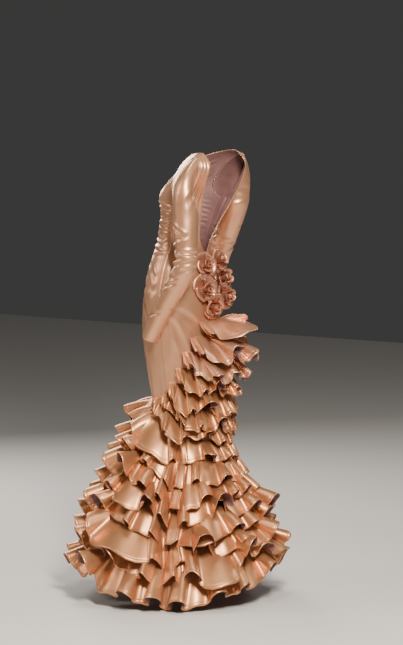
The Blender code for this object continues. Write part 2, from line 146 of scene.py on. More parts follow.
@dataclass
class Figure:
    """The general figure that fills the gown, and the lines of its cut on that figure."""

    neck_side_x: float = 0.105
    shoulder_tip_x: float = 0.150
    shoulder_slope: float = 0.30
    shoulder_y: float = 0.004
    shoulder_round: float = 0.060
    neckline_dip: float = 0.028
    cup_x: float = 0.085
    cup_z: float = -0.155
    cup_reach: float = 0.040
    cup_spread: float = 0.042
    cup_side_fade: float = 1.6
    # Width over which the cloth spans the middle between the cups
    cup_span: float = 0.020
    armhole_bottom: float = -0.172
    armhole_top: float = -0.050
    crown_share: float = 0.55
    # Height, centre depth, half width, half depth in front and behind
    rings: tuple[tuple[float, ...], ...] = (
        (0.010, -0.004, 0.165, 0.084, 0.070),
        (-0.030, -0.010, 0.165, 0.092, 0.075),
        (-0.060, -0.018, 0.165, 0.098, 0.082),
        (-0.110, -0.040, 0.158, 0.108, 0.092),
        (-0.155, -0.062, 0.143, 0.105, 0.100),
        (-0.200, -0.085, 0.134, 0.100, 0.096),
        (-0.250, -0.108, 0.125, 0.101, 0.088),
        (-0.325, -0.135, 0.120, 0.091, 0.085),
        (-0.410, -0.147, 0.150, 0.100, 0.105),
        (-0.500, -0.151, 0.170, 0.110, 0.120),
        (-0.600, -0.150, 0.167, 0.123, 0.118),
        (-0.690, -0.145, 0.160, 0.125, 0.112),
        (-0.795, -0.137, 0.150, 0.118, 0.110),
        (-0.890, -0.132, 0.143, 0.108, 0.112),
        (-0.970, -0.135, 0.148, 0.118, 0.126),
        (-1.060, -0.142, 0.163, 0.145, 0.152),
        (-1.180, -0.152, 0.195, 0.185, 0.188),
        (-1.310, -0.165, 0.233, 0.228, 0.228),
        (-1.460, -0.179, 0.275, 0.272, 0.272),
    )
    side_seam: tuple[tuple[float, float], ...] = (
        (-1.45, 92.0), (-0.90, 95.0), (-0.50, 98.0), (-0.32, 99.0), (-0.20, 88.0), (-0.172, 87.0),
    )
    armhole_front: tuple[tuple[float, float], ...] = (
        (-0.172, 87.0), (-0.158, 75.0), (-0.140, 67.0), (-0.115, 61.0), (-0.085, 59.0), (-0.050, 60.5),
        (-0.030, 62.5),
    )
    armhole_back: tuple[tuple[float, float], ...] = (
        (-0.172, 87.0), (-0.158, 97.0), (-0.140, 104.0), (-0.115, 109.0), (-0.085, 112.0), (-0.050, 113.0),
        (-0.030, 114.5),
    )
    back_opening: tuple[tuple[float, float], ...] = (
        (-0.370, 0.0004), (-0.345, 0.014), (-0.320, 0.030), (-0.250, 0.067), (-0.200, 0.096),
        (-0.150, 0.119), (-0.110, 0.127), (-0.085, 0.130), (-0.050, 0.127), (0.010, 0.100),
    )

    def __post_init__(self) -> None:
        """Makes the curves from the tables."""
        heights = [row[0] for row in self.rings]
        names = ("centre_y", "half_x", "front", "back")
        self.ring = {n: SmoothCurve(heights, [r[k + 1] for r in self.rings]) for k, n in enumerate(names)}
        tables = (self.side_seam, self.armhole_front, self.armhole_back, self.back_opening)
        curves = [SmoothCurve([r[0] for r in table], [r[1] for r in table]) for table in tables]
        self.seam_at, self.front_hole_at, self.back_hole_at, self.opening_at = curves

    def shoulder_z(self, x: np.ndarray) -> np.ndarray:
        """Height of the shoulder line at a distance from the middle."""
        return self.shoulder_slope * (self.neck_side_x - np.abs(x))

    def top_z(self, x: np.ndarray) -> np.ndarray:
        """Height of the front's upper edge, a shallow boat neckline between the shoulder seams."""
        dip = self.neckline_dip * ((x / self.neck_side_x) ** 2 - 1)
        return np.where(np.abs(x) < self.neck_side_x, dip, self.shoulder_z(x))

    def on(self, z: np.ndarray | float, turn: np.ndarray | float) -> np.ndarray:
        """Points of the cloth on the figure.

        Args:
            z: heights.
            turn: turns in radians, 0 in front and growing to the wearer's left.

        Returns:
            An array of points.
        """
        z, turn = np.broadcast_arrays(np.asarray(z, float), np.asarray(turn, float))
        facing = np.cos(turn)
        x = self.ring["half_x"](z) * np.sin(turn)
        depth = np.where(facing > 0, self.ring["front"](z), self.ring["back"](z))
        y = self.ring["centre_y"](z) - depth * facing
        from_middle = np.sqrt(x * x + self.cup_span**2)
        off_apex = (from_middle - self.cup_x) ** 2 + (z - self.cup_z) ** 2
        cup = self.cup_reach * np.clip(self.cup_side_fade * facing, 0, 1)
        y = y - cup * np.exp(-off_apex / (2 * self.cup_spread**2))
        below = np.clip((self.shoulder_z(x) - z) / self.shoulder_round, 0.0, 1.0)
        y = self.shoulder_y + (y - self.shoulder_y) * np.sqrt(1 - (1 - below) ** 2)
        return np.stack([x, y, z], axis=-1)

    def turn_at(self, z: np.ndarray | float, x: np.ndarray | float) -> np.ndarray:
        """The turn on the front half that reaches a distance from the middle."""
        return np.arcsin(np.clip(np.asarray(x) / self.ring["half_x"](z), 0.0, 1.0))

    def size_round(self, z: np.ndarray | float) -> np.ndarray:
        """A mean radius of the figure, which turns an angle into a length along the cloth."""
        return (self.ring["half_x"](z) + self.ring["front"](z)) / 2


FIGURE = Figure()


def node(tree: bpy.types.NodeTree, kind: str, **values: object) -> bpy.types.Node:
    """Adds a shader node and fills its inputs.

    Args:
        tree: the material's node tree.
        kind: the node's type, without the start that all types share.
        values: a value, or a socket to link, under each input's name.

    Returns:
        The node.
    """
    made = tree.nodes.new(f"ShaderNode{kind}")
    for name, value in values.items():
        if isinstance(value, bpy.types.NodeSocket):
            tree.links.new(value, made.inputs[name])
        else:
            made.inputs[name].default_value = value
    return made


@dataclass(frozen=True)
class Finish:
    """A satin finish, as a procedural material."""

    name: str
    face: Colour
    shade: Colour
    # Colour of the shader's sheen, and of the painted sheen mixed into the base colour where the cloth turns
    # away from the camera
    sheen_and_painted_sheen: Colour
    roughness: float = 0.37
    metal: float = 0.72
    sheen: float = 0.10
    sheen_roughness: float = 0.35
    anisotropy: float = 0.45
    mottle_scale: float = 9.0
    mottle_detail: float = 4.0
    mottle_roughness: float = 0.55
    mottle_ends: tuple[float, float] = (0.28, 0.72)
    # Blend of the facing mask that places the painted sheen, and how much painted sheen it mixes into the
    # colour
    facing_blend: float = 0.20
    painted_sheen_share: float = 0.14
    # Scale, detail and depth of the slubs and then of the threads
    bumps: tuple[tuple[float, float, float], ...] = ((42.0, 3.0, 0.00035), (1500.0, 1.0, 0.00006))
    bump_strength: float = 0.5
    bump_stretch: tuple[float, float, float] = (1.0, 1.0, 0.18)

    def material(self) -> bpy.types.Material:
        """Makes the material once, and gives it again when asked again.

        Returns:
            The material.
        """
        known = bpy.data.materials.get(self.name)
        if known:
            return known
        material = bpy.data.materials.new(self.name)
        material.use_nodes = True
        tree = material.node_tree
        inputs = tree.nodes["Principled BSDF"].inputs
        inputs["Roughness"].default_value = self.roughness
        inputs["Metallic"].default_value = self.metal
        inputs["Sheen Weight"].default_value = self.sheen
        inputs["Sheen Roughness"].default_value = self.sheen_roughness
        inputs["Sheen Tint"].default_value = (*self.sheen_and_painted_sheen, 1.0)
        inputs["Anisotropic"].default_value = self.anisotropy
        place = node(tree, "TexCoord").outputs["Object"]
        tree.links.new(self._colour(tree, place), inputs["Base Color"])
        tree.links.new(self._normal(tree, place), inputs["Normal"])
        return material

    def _colour(self, tree: bpy.types.NodeTree, place: bpy.types.NodeSocket) -> bpy.types.NodeSocket:
        """The mottled colour, with a painted sheen that makes it a little paler where the cloth turns away
        from the camera.

        Args:
            tree: the material's node tree.
            place: the texture coordinates.

        Returns:
            The socket that gives the colour.
        """
        mottle = node(tree, "TexNoise", Vector=place, Scale=self.mottle_scale, Detail=self.mottle_detail)
        mottle.inputs["Roughness"].default_value = self.mottle_roughness
        ramp = node(tree, "ValToRGB", Fac=mottle.outputs["Fac"])
        looks = zip(ramp.color_ramp.elements, self.mottle_ends, (self.shade, self.face))
        for element, position, colour in looks:
            element.position = position
            element.color = (*colour, 1.0)
        # Painted sheen: the facing mask mixes the sheen colour into the base colour
        painted_sheen_amount = tree.nodes.new("ShaderNodeMath")
        painted_sheen_amount.operation = "MULTIPLY"
        painted_sheen_amount.inputs[1].default_value = self.painted_sheen_share
        facing = node(tree, "LayerWeight", Blend=self.facing_blend)
        tree.links.new(facing.outputs["Facing"], painted_sheen_amount.inputs[0])
        sheen_and_painted_sheen = tree.nodes.new("ShaderNodeMix")
        sheen_and_painted_sheen.data_type = "RGBA"
        sheen_and_painted_sheen.inputs["B"].default_value = (*self.sheen_and_painted_sheen, 1.0)
        tree.links.new(ramp.outputs["Color"], sheen_and_painted_sheen.inputs["A"])
        tree.links.new(painted_sheen_amount.outputs[0], sheen_and_painted_sheen.inputs["Factor"])
        return sheen_and_painted_sheen.outputs["Result"]

    def _normal(self, tree: bpy.types.NodeTree, place: bpy.types.NodeSocket) -> bpy.types.NodeSocket:
        """The bumps of the slubs, with those of the threads on them.

        Args:
            tree: the material's node tree.
            place: the texture coordinates.

        Returns:
            The socket that gives the normal.
        """
        stretched = node(tree, "Mapping", Vector=place, Scale=self.bump_stretch).outputs["Vector"]
        below = {}
        for scale, detail, depth in self.bumps:
            noise = node(tree, "TexNoise", Vector=stretched, Scale=scale, Detail=detail).outputs["Fac"]
            bump = node(tree, "Bump", Strength=self.bump_strength, Distance=depth, Height=noise, **below)
            below = {"Normal": bump.outputs["Normal"]}
        return below["Normal"]


PEACH = Finish("peach_satin", (0.74, 0.385, 0.225), (0.60, 0.29, 0.165), (0.95, 0.67, 0.50))
COPPER = Finish("copper_satin", (0.74, 0.355, 0.165), (0.56, 0.245, 0.115), (0.94, 0.62, 0.40))
# The reverse of the satin: duller and matte, and much darker than its face as painted shade for the cloth's
# hidden insides
UNDERSIDE_WITH_PAINTED_SHADE = Finish(
    "satin_underside_painted_shade", (0.27, 0.13, 0.12), (0.18, 0.09, 0.09), (0.44, 0.28, 0.26),
    roughness=0.5, metal=0.1, sheen=0.2, anisotropy=0.1,
)
# The roses' satin: a darker copy of the peach as painted shade for their shaded insides, spread by the random
# mottle
PETAL_WITH_PAINTED_SHADE = Finish("petal_satin_painted_shade", (0.66, 0.32, 0.20), (0.42, 0.17, 0.11), (0.92, 0.62, 0.48), mottle_scale=28.0)


def mesh_object(name: str, points: np.ndarray, faces: np.ndarray) -> bpy.types.Object:
    """A smooth-shaded mesh object from arrays.

    Args:
        name: its name.
        points: its vertices.
        faces: its faces, all with the same number of corners.

    Returns:
        The object, linked to the scene.
    """
    mesh = bpy.data.meshes.new(name)
    corners = faces.shape[1]
    mesh.vertices.add(len(points))
    mesh.vertices.foreach_set("co", points.astype(np.float32).ravel())
    mesh.loops.add(len(faces) * corners)
    mesh.loops.foreach_set("vertex_index", faces.astype(np.int32).ravel())
    mesh.polygons.add(len(faces))
    mesh.polygons.foreach_set("loop_start", np.arange(len(faces), dtype=np.int32) * corners)
    mesh.update(calc_edges=True)
    mesh.validate()
    mesh.shade_smooth()
    piece = bpy.data.objects.new(name, mesh)
    bpy.context.scene.collection.objects.link(piece)
    return piece


def quads(rows: int, columns: int, closed: bool) -> np.ndarray:
    """The faces of a grid of points.

    Args:
        rows: its rows.
        columns: its columns.
        closed: whether the last column joins the first.

    Returns:
        Four corners for each face.
    """
    index = np.arange(rows * columns).reshape(rows, columns)
    if closed:
        index = np.concatenate([index, index[:, :1]], axis=1)
    return np.stack([index[:-1, :-1], index[:-1, 1:], index[1:, 1:], index[1:, :-1]], axis=-1).reshape(-1, 4)


def area_of(grid: np.ndarray) -> float:
    """The area of a grid of points in square metres."""
    one = np.cross(grid[1:, 1:] - grid[:-1, :-1], grid[1:, :-1] - grid[:-1, 1:])
    return float(np.linalg.norm(one, axis=-1).sum() / 2)


def steps(grid: np.ndarray, axis: int) -> np.ndarray:
    """The length of each step of a grid along one of its axes."""
    return np.linalg.norm(np.diff(grid, axis=axis), axis=-1)


def walked(grid: np.ndarray, axis: int) -> np.ndarray:
    """The length from the first point to each along one axis of a grid."""
    return np.insert(np.cumsum(steps(grid, axis), axis=axis), 0, 0.0, axis=axis)


def dress(piece: bpy.types.Object, thickness: float, offset: float, slot: Slot, nodes: list[str]) -> None:
    """Gives a piece its wall and puts it in place of its solids.

    Args:
        piece: the piece.
        thickness: the wall's thickness.
        offset: -1 where the points are the wall's outer face and 0 where they are its middle.
        slot: not used.
        nodes: the solids that it stands for.
    """
    wall = piece.modifiers.new("wall", "SOLIDIFY")
    wall.thickness = thickness
    wall.offset = offset
    # The inner shell takes the second material, the underside darkened with painted shade
    if len(piece.data.materials) > 1:
        wall.material_offset = 1
        wall.material_offset_rim = 0
    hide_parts(*nodes)
    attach(piece, BODY)


@dataclass
class Cloth:
    """A grid of points that becomes one piece of cloth with a wall and a dark mauve back: the duller matte
    reverse of the satin, darkened further with painted shade.
    """

    name: str
    grid: np.ndarray
    finish: Finish
    slot: Slot
    closed: bool = False
    flip: bool = False
    thickness: float = 0.0014
    offset: float = -1.0
    # Room round the cloth in its cut, and the least share of the cut that it may fill
    room: float = 0.01
    least_share: float = 0.31

    def build(self, nodes: list[str], hold: Hold, rests_on: list[str]) -> None:
        """Makes the piece, puts it in place of its solids and states the size that it was cut to.

        Args:
            nodes: the solids that it stands for.
            hold: not used.
            rests_on: what it is sewn to.
        """
        rows, columns = self.grid.shape[:2]
        faces = quads(rows, columns, self.closed)
        piece = mesh_object(self.name, self.grid.reshape(-1, 3), faces[:, ::-1] if self.flip else faces)
        piece.data.materials.append(self.finish.material())
        piece.data.materials.append(UNDERSIDE_WITH_PAINTED_SHADE.material())
        dress(piece, self.thickness, self.offset, self.slot, nodes)
        grid = self.grid
        if self.closed:
            grid = np.concatenate([grid, grid[:, :1]], axis=1)
        width = round(float(steps(grid, 1).sum(axis=1).max()), 2) + self.room
        length = round(float(steps(grid, 0).sum(axis=0).max()), 2) + self.room
        area = max(area_of(grid), self.least_share * width * length)
        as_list(rests_on)
        LOG.info("%s cut from %.2f by %.2f m, %.3f square metres", self.name, width, length, area)


@dataclass(frozen=True)
class Crease:
    """One soft fold on fitted cloth: a trough with a low ridge on each side."""

    along: float
    z: float
    length: float
    angle: float
    width: float
    depth: float
    bow: float
    # Height of the ridges, their distance and spread in widths, and how soon the ends run out
    ridge: float = 0.9
    ridge_at: float = 1.25
    ridge_spread: float = 0.35
    ends: float = 1.5

    def depth_at(self, along: np.ndarray, z: np.ndarray) -> np.ndarray:
        """How far the crease moves the cloth, outwards positive.

        Args:
            along: lengths round the cloth from its middle line.
            z: heights.

        Returns:
            The moves.
        """
        lean = math.radians(self.angle)
        u = (along - self.along) * math.cos(lean) + (z - self.z) * math.sin(lean)
        v = -(along - self.along) * math.sin(lean) + (z - self.z) * math.cos(lean)
        s = u / (self.length / 2)
        v = v - self.bow * (1 - np.clip(s, -1, 1) ** 2)
        window = np.clip(1 - s * s, 0, 1) ** self.ends
        w = v / self.width
        ridges = self.ridge * np.exp(-((np.abs(w) - self.ridge_at) ** 2) / self.ridge_spread)
        return self.depth * window * (ridges - np.exp(-w * w))


def creases(*rows: tuple[float, ...]) -> tuple[Crease, ...]:
    """Creases from rows of length round the cloth, height, length, lean, width, depth and bow.

    Args:
        rows: the rows, with leans in degrees and lengths in millimetres.

    Returns:
        The creases.
    """
    return tuple(
        Crease(along / MM, z / MM, length / MM, lean, width / MM, depth / MM, bow / MM)
        for along, z, length, lean, width, depth, bow in rows
    )


@dataclass(frozen=True)
class Rumple:
    """A stretch of cloth with many small seeded creases, with lengths in millimetres."""

    seed: int
    count: int
    along: Span
    z: Span
    length: Span
    angle: Span
    width: Span
    depth: Span
    bow: Span = (-6, 6)

    def creases(self) -> tuple[Crease, ...]:
        """Rolls the creases.

        Returns:
            The creases.
        """
        dice = np.random.default_rng(self.seed)
        ranges = (self.along, self.z, self.length, self.angle, self.width, self.depth, self.bow)
        return creases(*([float(dice.uniform(*span)) for span in ranges] for _ in range(self.count)))


def normals(grid: np.ndarray, closed: bool) -> np.ndarray:
    """Unit normals of a grid of points.

    Args:
        grid: rows by columns by 3.
        closed: whether the last column joins the first.

    Returns:
        An array like the grid.
    """
    down = np.gradient(grid, axis=0)
    if closed:
        across = (np.roll(grid, -1, axis=1) - np.roll(grid, 1, axis=1)) / 2
    else:
        across = np.gradient(grid, axis=1)
    normal = np.cross(across, down)
    return normal / np.maximum(np.linalg.norm(normal, axis=-1, keepdims=True), 1e-9)


def refine(net: np.ndarray, rows: int, columns: int, closed: bool) -> np.ndarray:
    """A smooth fine grid through the points of a coarse net.

    Args:
        net: rows by columns by 3.
        rows: fine rows wanted.
        columns: fine columns wanted.
        closed: whether the last column joins the first.

    Returns:
        The fine grid.
    """

    def along(points: np.ndarray, count: int, loop: bool) -> np.ndarray:
        """A Catmull-Rom curve through the first axis.

        Args:
            points: the points to go through.
            count: fine points wanted.
            loop: whether the last point joins the first.

        Returns:
            The fine points.
        """
        size = len(points)
        if loop:
            place = np.arange(count) / count * size
        else:
            place = np.linspace(0, size - 1, count)
        i = np.floor(place).astype(int)
        if not loop:
            i = np.minimum(i, size - 2)
        t = (place - i).reshape((-1,) + (1,) * (points.ndim - 1))
        if loop:
            four = [points[(i + k) % size] for k in (-1, 0, 1, 2)]
        else:
            start = 2 * points[:1] - points[1:2]
            end = 2 * points[-1:] - points[-2:-1]
            wide = np.concatenate([start, points, end])
            four = [wide[i + k] for k in (0, 1, 2, 3)]
        a, b, c, d = four
        return b + 0.5 * t * (c - a + t * (2 * a - 5 * b + 4 * c - d + t * (3 * (b - c) + d - a)))

    fine = along(net, rows, False)
    return np.swapaxes(along(np.swapaxes(fine, 0, 1), columns, closed), 0, 1)


def soften(grid: np.ndarray, spread: float, start: tuple[int, int], stop: tuple[int, int]) -> np.ndarray:
    """Rounds a grid's form along its columns, fully between two stretches of rows.

    Args:
        grid: rows by columns by 3.
        spread: how many rows each point is averaged over.
        start: the rows over which the rounding begins.
        stop: the rows over which it ends.

    Returns:
        The rounded grid.
    """
    reach = int(3 * spread)
    weights = np.exp(-0.5 * (np.arange(-reach, reach + 1) / spread) ** 2)
    weights /= weights.sum()
    wide = np.concatenate([np.repeat(grid[:1], reach, axis=0), grid, np.repeat(grid[-1:], reach, axis=0)])
    smooth = sum(weight * wide[k : k + len(grid)] for k, weight in enumerate(weights))
    row = np.arange(len(grid))
    share = (rise(row, *start) * (1 - rise(row, *stop)))[:, None, None]
    return grid * (1 - share) + smooth * share


def uneven(x: np.ndarray, seed: int, scale: float) -> np.ndarray:
    """A soft uneven line made of a few seeded waves, between about -1 and 1.

    Args:
        x: the places along the line.
        seed: which line.
        scale: the length of the main wave.

    Returns:
        The values.
    """
    dice = np.random.default_rng(seed)
    total = np.zeros_like(np.asarray(x, float))
    for k in range(1, 5):
        size, rate, start = dice.uniform(0.5, 1.0), dice.uniform(0.8, 1.2), dice.uniform(0, TURN)
        total += size / k * np.sin(TURN * x * k * rate / scale + start)
    return total / 1.6


@dataclass
class Bodice:
    """The fitted panels: the front and both backs."""

    bottom: float = -1.45
    seam_gap: float = 0.0004
    front_columns: int = 121
    back_columns: int = 65
    # Rows up to each height, close together on the bodice
    row_bands: tuple[tuple[float, int], ...] = ((-0.95, 14), (-0.45, 66), (-0.05, 134))
    crown_rows: int = 18
    # Lengths round from centre front to the wearer's left
    front_creases: tuple[Crease, ...] = creases(
        (118, -196, 95, -14, 5.5, 2.6, 6), (126, -212, 110, -9, 6, 3, 5), (112, -231, 80, -4, 5, 2.2, 4),
        (130, -247, 90, 6, 6, 2.4, -3), (110, -302, 120, 5, 7.5, 3.4, -6), (90, -327, 150, -3, 8.5, 4, 4),
        (120, -352, 110, -10, 7.5, 3, 6), (30, -315, 100, 2, 7, 2.2, 3), (145, -420, 130, -32, 11, 3, 8),
        (70, -470, 170, -24, 14, 2.6, 10), (150, -560, 190, -52, 15, 3, 10),
        (60, -680, 240, 78, 16, 3.6, 12), (130, -780, 200, 84, 14, 3.4, -10),
        (20, -860, 180, -80, 12, 3, 8), (-108, -201, 85, 12, 5.5, 2.4, 5),
        (-121, -222, 100, 8, 6, 2.8, 4), (-127, -243, 85, -5, 5.5, 2.2, -3),
        (-100, -309, 125, -4, 8, 3.4, -5), (-85, -336, 140, 4, 8.5, 3.8, 4),
        (-128, -362, 100, 12, 7, 2.8, 5), (-140, -432, 140, 30, 12, 3, 8),
        (-75, -500, 180, 26, 14, 2.4, 10), (-145, -590, 180, 50, 15, 2.8, 9),
        (-50, -700, 230, -82, 15, 3.4, 10), (-125, -800, 190, -76, 14, 3.2, 8),
        (70, -62, 90, 42, 8, 2, 6), (-74, -66, 85, -40, 8, 2, 6), (108, -110, 70, 66, 7, 2.4, 5),
        (-106, -114, 66, -64, 7, 2.2, 5),
    )
    # The same for the backs, with lengths from the centre back outwards
    left_creases: tuple[Crease, ...] = creases(
        (110, -262, 90, -18, 6, 2.6, 4), (95, -300, 120, -8, 7.5, 3.4, 4), (85, -328, 130, 4, 8, 3.8, -5),
        (100, -356, 110, 14, 7.5, 3, -4), (130, -420, 140, 34, 13, 1.6, 7),
        (90, -590, 160, 40, 15, 1.4, 8), (140, -650, 200, 66, 17, 2.4, 10),
        (70, -760, 180, 84, 13, 3.2, 8), (120, -850, 170, -84, 12, 3, 6),
    )
    right_creases: tuple[Crease, ...] = creases(
        (106, -270, 85, -12, 6, 2.4, 4), (90, -308, 125, -5, 8, 3.6, 5), (92, -338, 120, 7, 8, 3.4, -4),
        (108, -368, 100, 18, 7, 2.8, -5), (125, -440, 150, 30, 12, 2.8, 8),
        (100, -610, 170, 46, 13, 2.8, 7), (135, -690, 190, 72, 15, 3.2, 9),
        (75, -800, 180, -80, 13, 3, 8),
    )
    # Small creases at the bust sides, the waist and the hips, on both halves of the front
    front_rumples: tuple[Rumple, ...] = (
        Rumple(1, 11, (60, 160), (-285, -185), (70, 130), (-16, 8), (5, 8), (0.8, 1.8)),
        Rumple(2, 11, (-160, -60), (-285, -185), (70, 130), (-8, 16), (5, 8), (0.8, 1.8)),
        Rumple(3, 15, (-170, 170), (-385, -290), (80, 160), (-12, 12), (5, 9), (0.8, 2)),
        Rumple(4, 8, (-200, 200), (-560, -390), (100, 200), (-50, 50), (14, 24), (0.6, 1.3)),
        Rumple(5, 8, (-220, 220), (-900, -580), (160, 300), (74, 106), (18, 30), (1.6, 3.6)),
    )
    back_rumples: tuple[Rumple, ...] = (
        Rumple(6, 14, (40, 170), (-385, -240), (60, 130), (-14, 14), (5, 9), (0.8, 1.8)),
        Rumple(7, 6, (40, 200), (-620, -400), (100, 200), (20, 70), (14, 24), (0.6, 1.3)),
        Rumple(8, 6, (40, 220), (-900, -580), (140, 280), (74, 106), (18, 30), (1.4, 3.4)),
    )
    # What the left and the right back add to the seeds of the rumples
    back_laps: tuple[int, int] = (50, 80)
    edge_start: float = 0.002
    edge_fade: float = 0.030
    edge_stitch: float = 0.008
    edge_spread: float = 0.0016
    edge_depth: float = 0.0008
    # How much further than the solid the strap reaches over the open back, and where that grows
    strap_reach: float = 0.012
    strap_grows: Span = (-0.30, -0.16)
    strap_folds: int = 3
    fold_depth: float = 0.0062
    folds_end: float = -0.30
    folds_fade: float = 0.12
    folds_from: float = 0.2
    # How far and how soon the folds sway, and how far they calm down towards the shoulder
    folds_sway: float = 0.25
    sway_rate: float = 9.0
    folds_calm: float = 0.65
    calm_from: float = -0.10
    crown_wider: float = 0.012
    dart_top: float = -0.175
    dart_bottom: float = -0.455
    dart_fade: float = 0.05
    dart_along: float = 0.072
    dart_depth: float = 0.0011
    dart_width: float = 0.0016

    def _heights(self) -> np.ndarray:
        """The heights of the rows up to the top of the armholes.

        Returns:
            The heights.
        """
        heights = [self.bottom]
        for high, count in self.row_bands:
            heights.extend(np.linspace(heights[-1], high, count + 1)[1:])
        return np.array(heights)

    def _side_line(self, heights: np.ndarray, hole_at: SmoothCurve, way: int) -> np.ndarray:
        """A panel's outer edge, up the side seam and then the armhole.

        Args:
            heights: heights of the rows.
            hole_at: the armhole's curve.
            way: -1 for the front and 1 for the back.

        Returns:
            A turn for each row.
        """
        seam = np.radians(FIGURE.seam_at(heights)) + way * self.seam_gap / 2 / FIGURE.ring["front"](heights)
        return np.where(heights <= FIGURE.armhole_bottom, seam, np.radians(hole_at(heights)))

    def _creased(
        self,
        grid: np.ndarray,
        along: np.ndarray,
        folds: tuple[Crease, ...],
        rumples: tuple[Rumple, ...],
        lap: int,
    ) -> np.ndarray:
        """Presses creases and the edge stitching into a panel.

        Args:
            grid: the panel's points.
            along: lengths round the cloth at every point.
            folds: the main creases.
            rumples: the stretches of small creases.
            lap: which of the rumples' rolls this panel takes.

        Returns:
            The creased panel.
        """
        shift = np.zeros(grid.shape[:2])
        small = [crease for rumple in rumples for crease in replace(rumple, seed=rumple.seed + lap).creases()]
        for crease in (*folds, *small):
            shift += crease.depth_at(along, grid[..., 2])
        across = walked(grid, 1)
        shift *= rise(np.minimum(across, across[:, -1:] - across), self.edge_start, self.edge_fade)
        from_top = walked(grid[::-1], 0)[::-1]
        shift -= self.edge_depth * np.exp(-(((from_top - self.edge_stitch) / self.edge_spread) ** 2))
        return grid + normals(grid, False) * shift[..., None]

    def front(self) -> Cloth:
        """The front, from side seam to side seam and up to the boat neckline.

        Returns:
            Its cloth.
        """
        heights = self._heights()
        share = np.linspace(-1, 1, self.front_columns)
        edge = self._side_line(heights, FIGURE.front_hole_at, -1)
        turn = edge[:, None] * share
        tip_turn = float(FIGURE.turn_at(0.0, FIGURE.shoulder_tip_x))
        step = np.linspace(0, 1, self.crown_rows + 1)[1:]
        crown_edge = edge[-1] + (tip_turn - edge[-1]) * np.minimum(1, step / FIGURE.crown_share)
        crown_turn = crown_edge[:, None] * share
        top = FIGURE.top_z(FIGURE.ring["half_x"](0.0) * np.sin(crown_turn))
        crown = FIGURE.on(FIGURE.armhole_top + (top - FIGURE.armhole_top) * step[:, None], crown_turn)
        crown[..., 1] = np.minimum(crown[..., 1], FIGURE.shoulder_y - self.seam_gap)
        grid = np.concatenate([FIGURE.on(heights[:, None], turn), crown])
        along = np.concatenate([turn, crown_turn]) * FIGURE.size_round(grid[..., 2])
        grid = self._creased(grid, along, self.front_creases, self.front_rumples, 0)
        dart = np.exp(-(((np.abs(along) - self.dart_along) / self.dart_width) ** 2)) * self.dart_depth
        dart *= rise(grid[..., 2], self.dart_bottom, self.dart_bottom + self.dart_fade)
        dart *= 1 - rise(grid[..., 2], self.dart_top - self.dart_fade, self.dart_top)
        return Cloth("gown_front", grid - normals(grid, False) * dart[..., None], PEACH, Slot.SATIN)

    def _strap_folds(self, heights: np.ndarray, across: np.ndarray) -> np.ndarray:
        """How far the soft lengthwise folds of a strap stand out.

        Args:
            heights: heights of the rows.
            across: places of the columns, from 0 at the outer edge to 1 at the open back.

        Returns:
            A move for each point.
        """
        z = heights[:, None]
        fade = np.clip((z - self.folds_end) / self.folds_fade, 0, 1)
        fade = fade * (1 - self.folds_calm * rise(z, self.calm_from, FIGURE.armhole_top))
        beyond = np.clip(across - self.folds_from, 0, 1) / (1 - self.folds_from)
        sway = self.folds_sway * np.sin(self.sway_rate * z)
        return self.fold_depth * fade * np.sin(math.pi * self.strap_folds * beyond + sway) ** 2

    def back(self, side: Side) -> Cloth:
        """One back, from the side seam to the centre back below and to the open edge above.

        Args:
            side: which side.

        Returns:
            Its cloth.
        """
        heights = self._heights()
        across = np.linspace(0, 1, self.back_columns)
        outer = self._side_line(heights, FIGURE.back_hole_at, 1)
        reach_in = self.strap_reach * rise(heights, *self.strap_grows)
        half_open = np.maximum(FIGURE.opening_at(heights) - reach_in, self.seam_gap / 2)
        inner = math.pi - FIGURE.turn_at(heights, half_open)
        turn = outer[:, None] + (inner - outer)[:, None] * across
        strap = self._strap_folds(heights, across)[..., None]
        body = FIGURE.on(heights[:, None], turn) + outward(turn) * strap
        top_x = FIGURE.shoulder_tip_x + (FIGURE.neck_side_x - FIGURE.shoulder_tip_x) * across
        top_y = np.full_like(across, FIGURE.shoulder_y + self.seam_gap)
        top = np.stack([top_x, top_y, FIGURE.shoulder_z(top_x)], axis=-1)
        crown_x = top_x + self.crown_wider * across
        crown_turn = math.pi - FIGURE.turn_at(0.0, crown_x)
        crown_z = FIGURE.armhole_top + FIGURE.crown_share * (FIGURE.shoulder_z(crown_x) - FIGURE.armhole_top)
        start = body[-1]
        tangent = start - body[-2]
        tangent /= np.linalg.norm(tangent, axis=-1, keepdims=True)
        reach = np.linalg.norm(top - start, axis=-1, keepdims=True)
        middle = (FIGURE.on(crown_z, crown_turn) + start + tangent * reach / 2) / 2
        t = np.linspace(0, 1, self.crown_rows + 1)[1:, None, None]
        grid = np.concatenate([body, (1 - t) ** 2 * start + 2 * t * (1 - t) * middle + t * t * top])
        all_turn = np.concatenate([turn, np.repeat(crown_turn[None], self.crown_rows, axis=0)])
        along = (math.pi - all_turn) * FIGURE.size_round(grid[..., 2])
        left = side is Side.LEFT
        folds = self.left_creases if left else self.right_creases
        grid = self._creased(grid, along, folds, self.back_rumples, self.back_laps[0 if left else 1])
        grid[..., 0] *= side.value
        return Cloth(f"gown_back_{side.name.lower()}", grid, PEACH, Slot.SATIN, flip=not left)

    def build(self) -> None:
        """Builds the three panels."""
        self.front().build(["front_panel"], Hold.HUNG, [])
        for side in Side:
            self.back(side).build([f"back_panel_{side.name.lower()}"], Hold.HUNG, [])


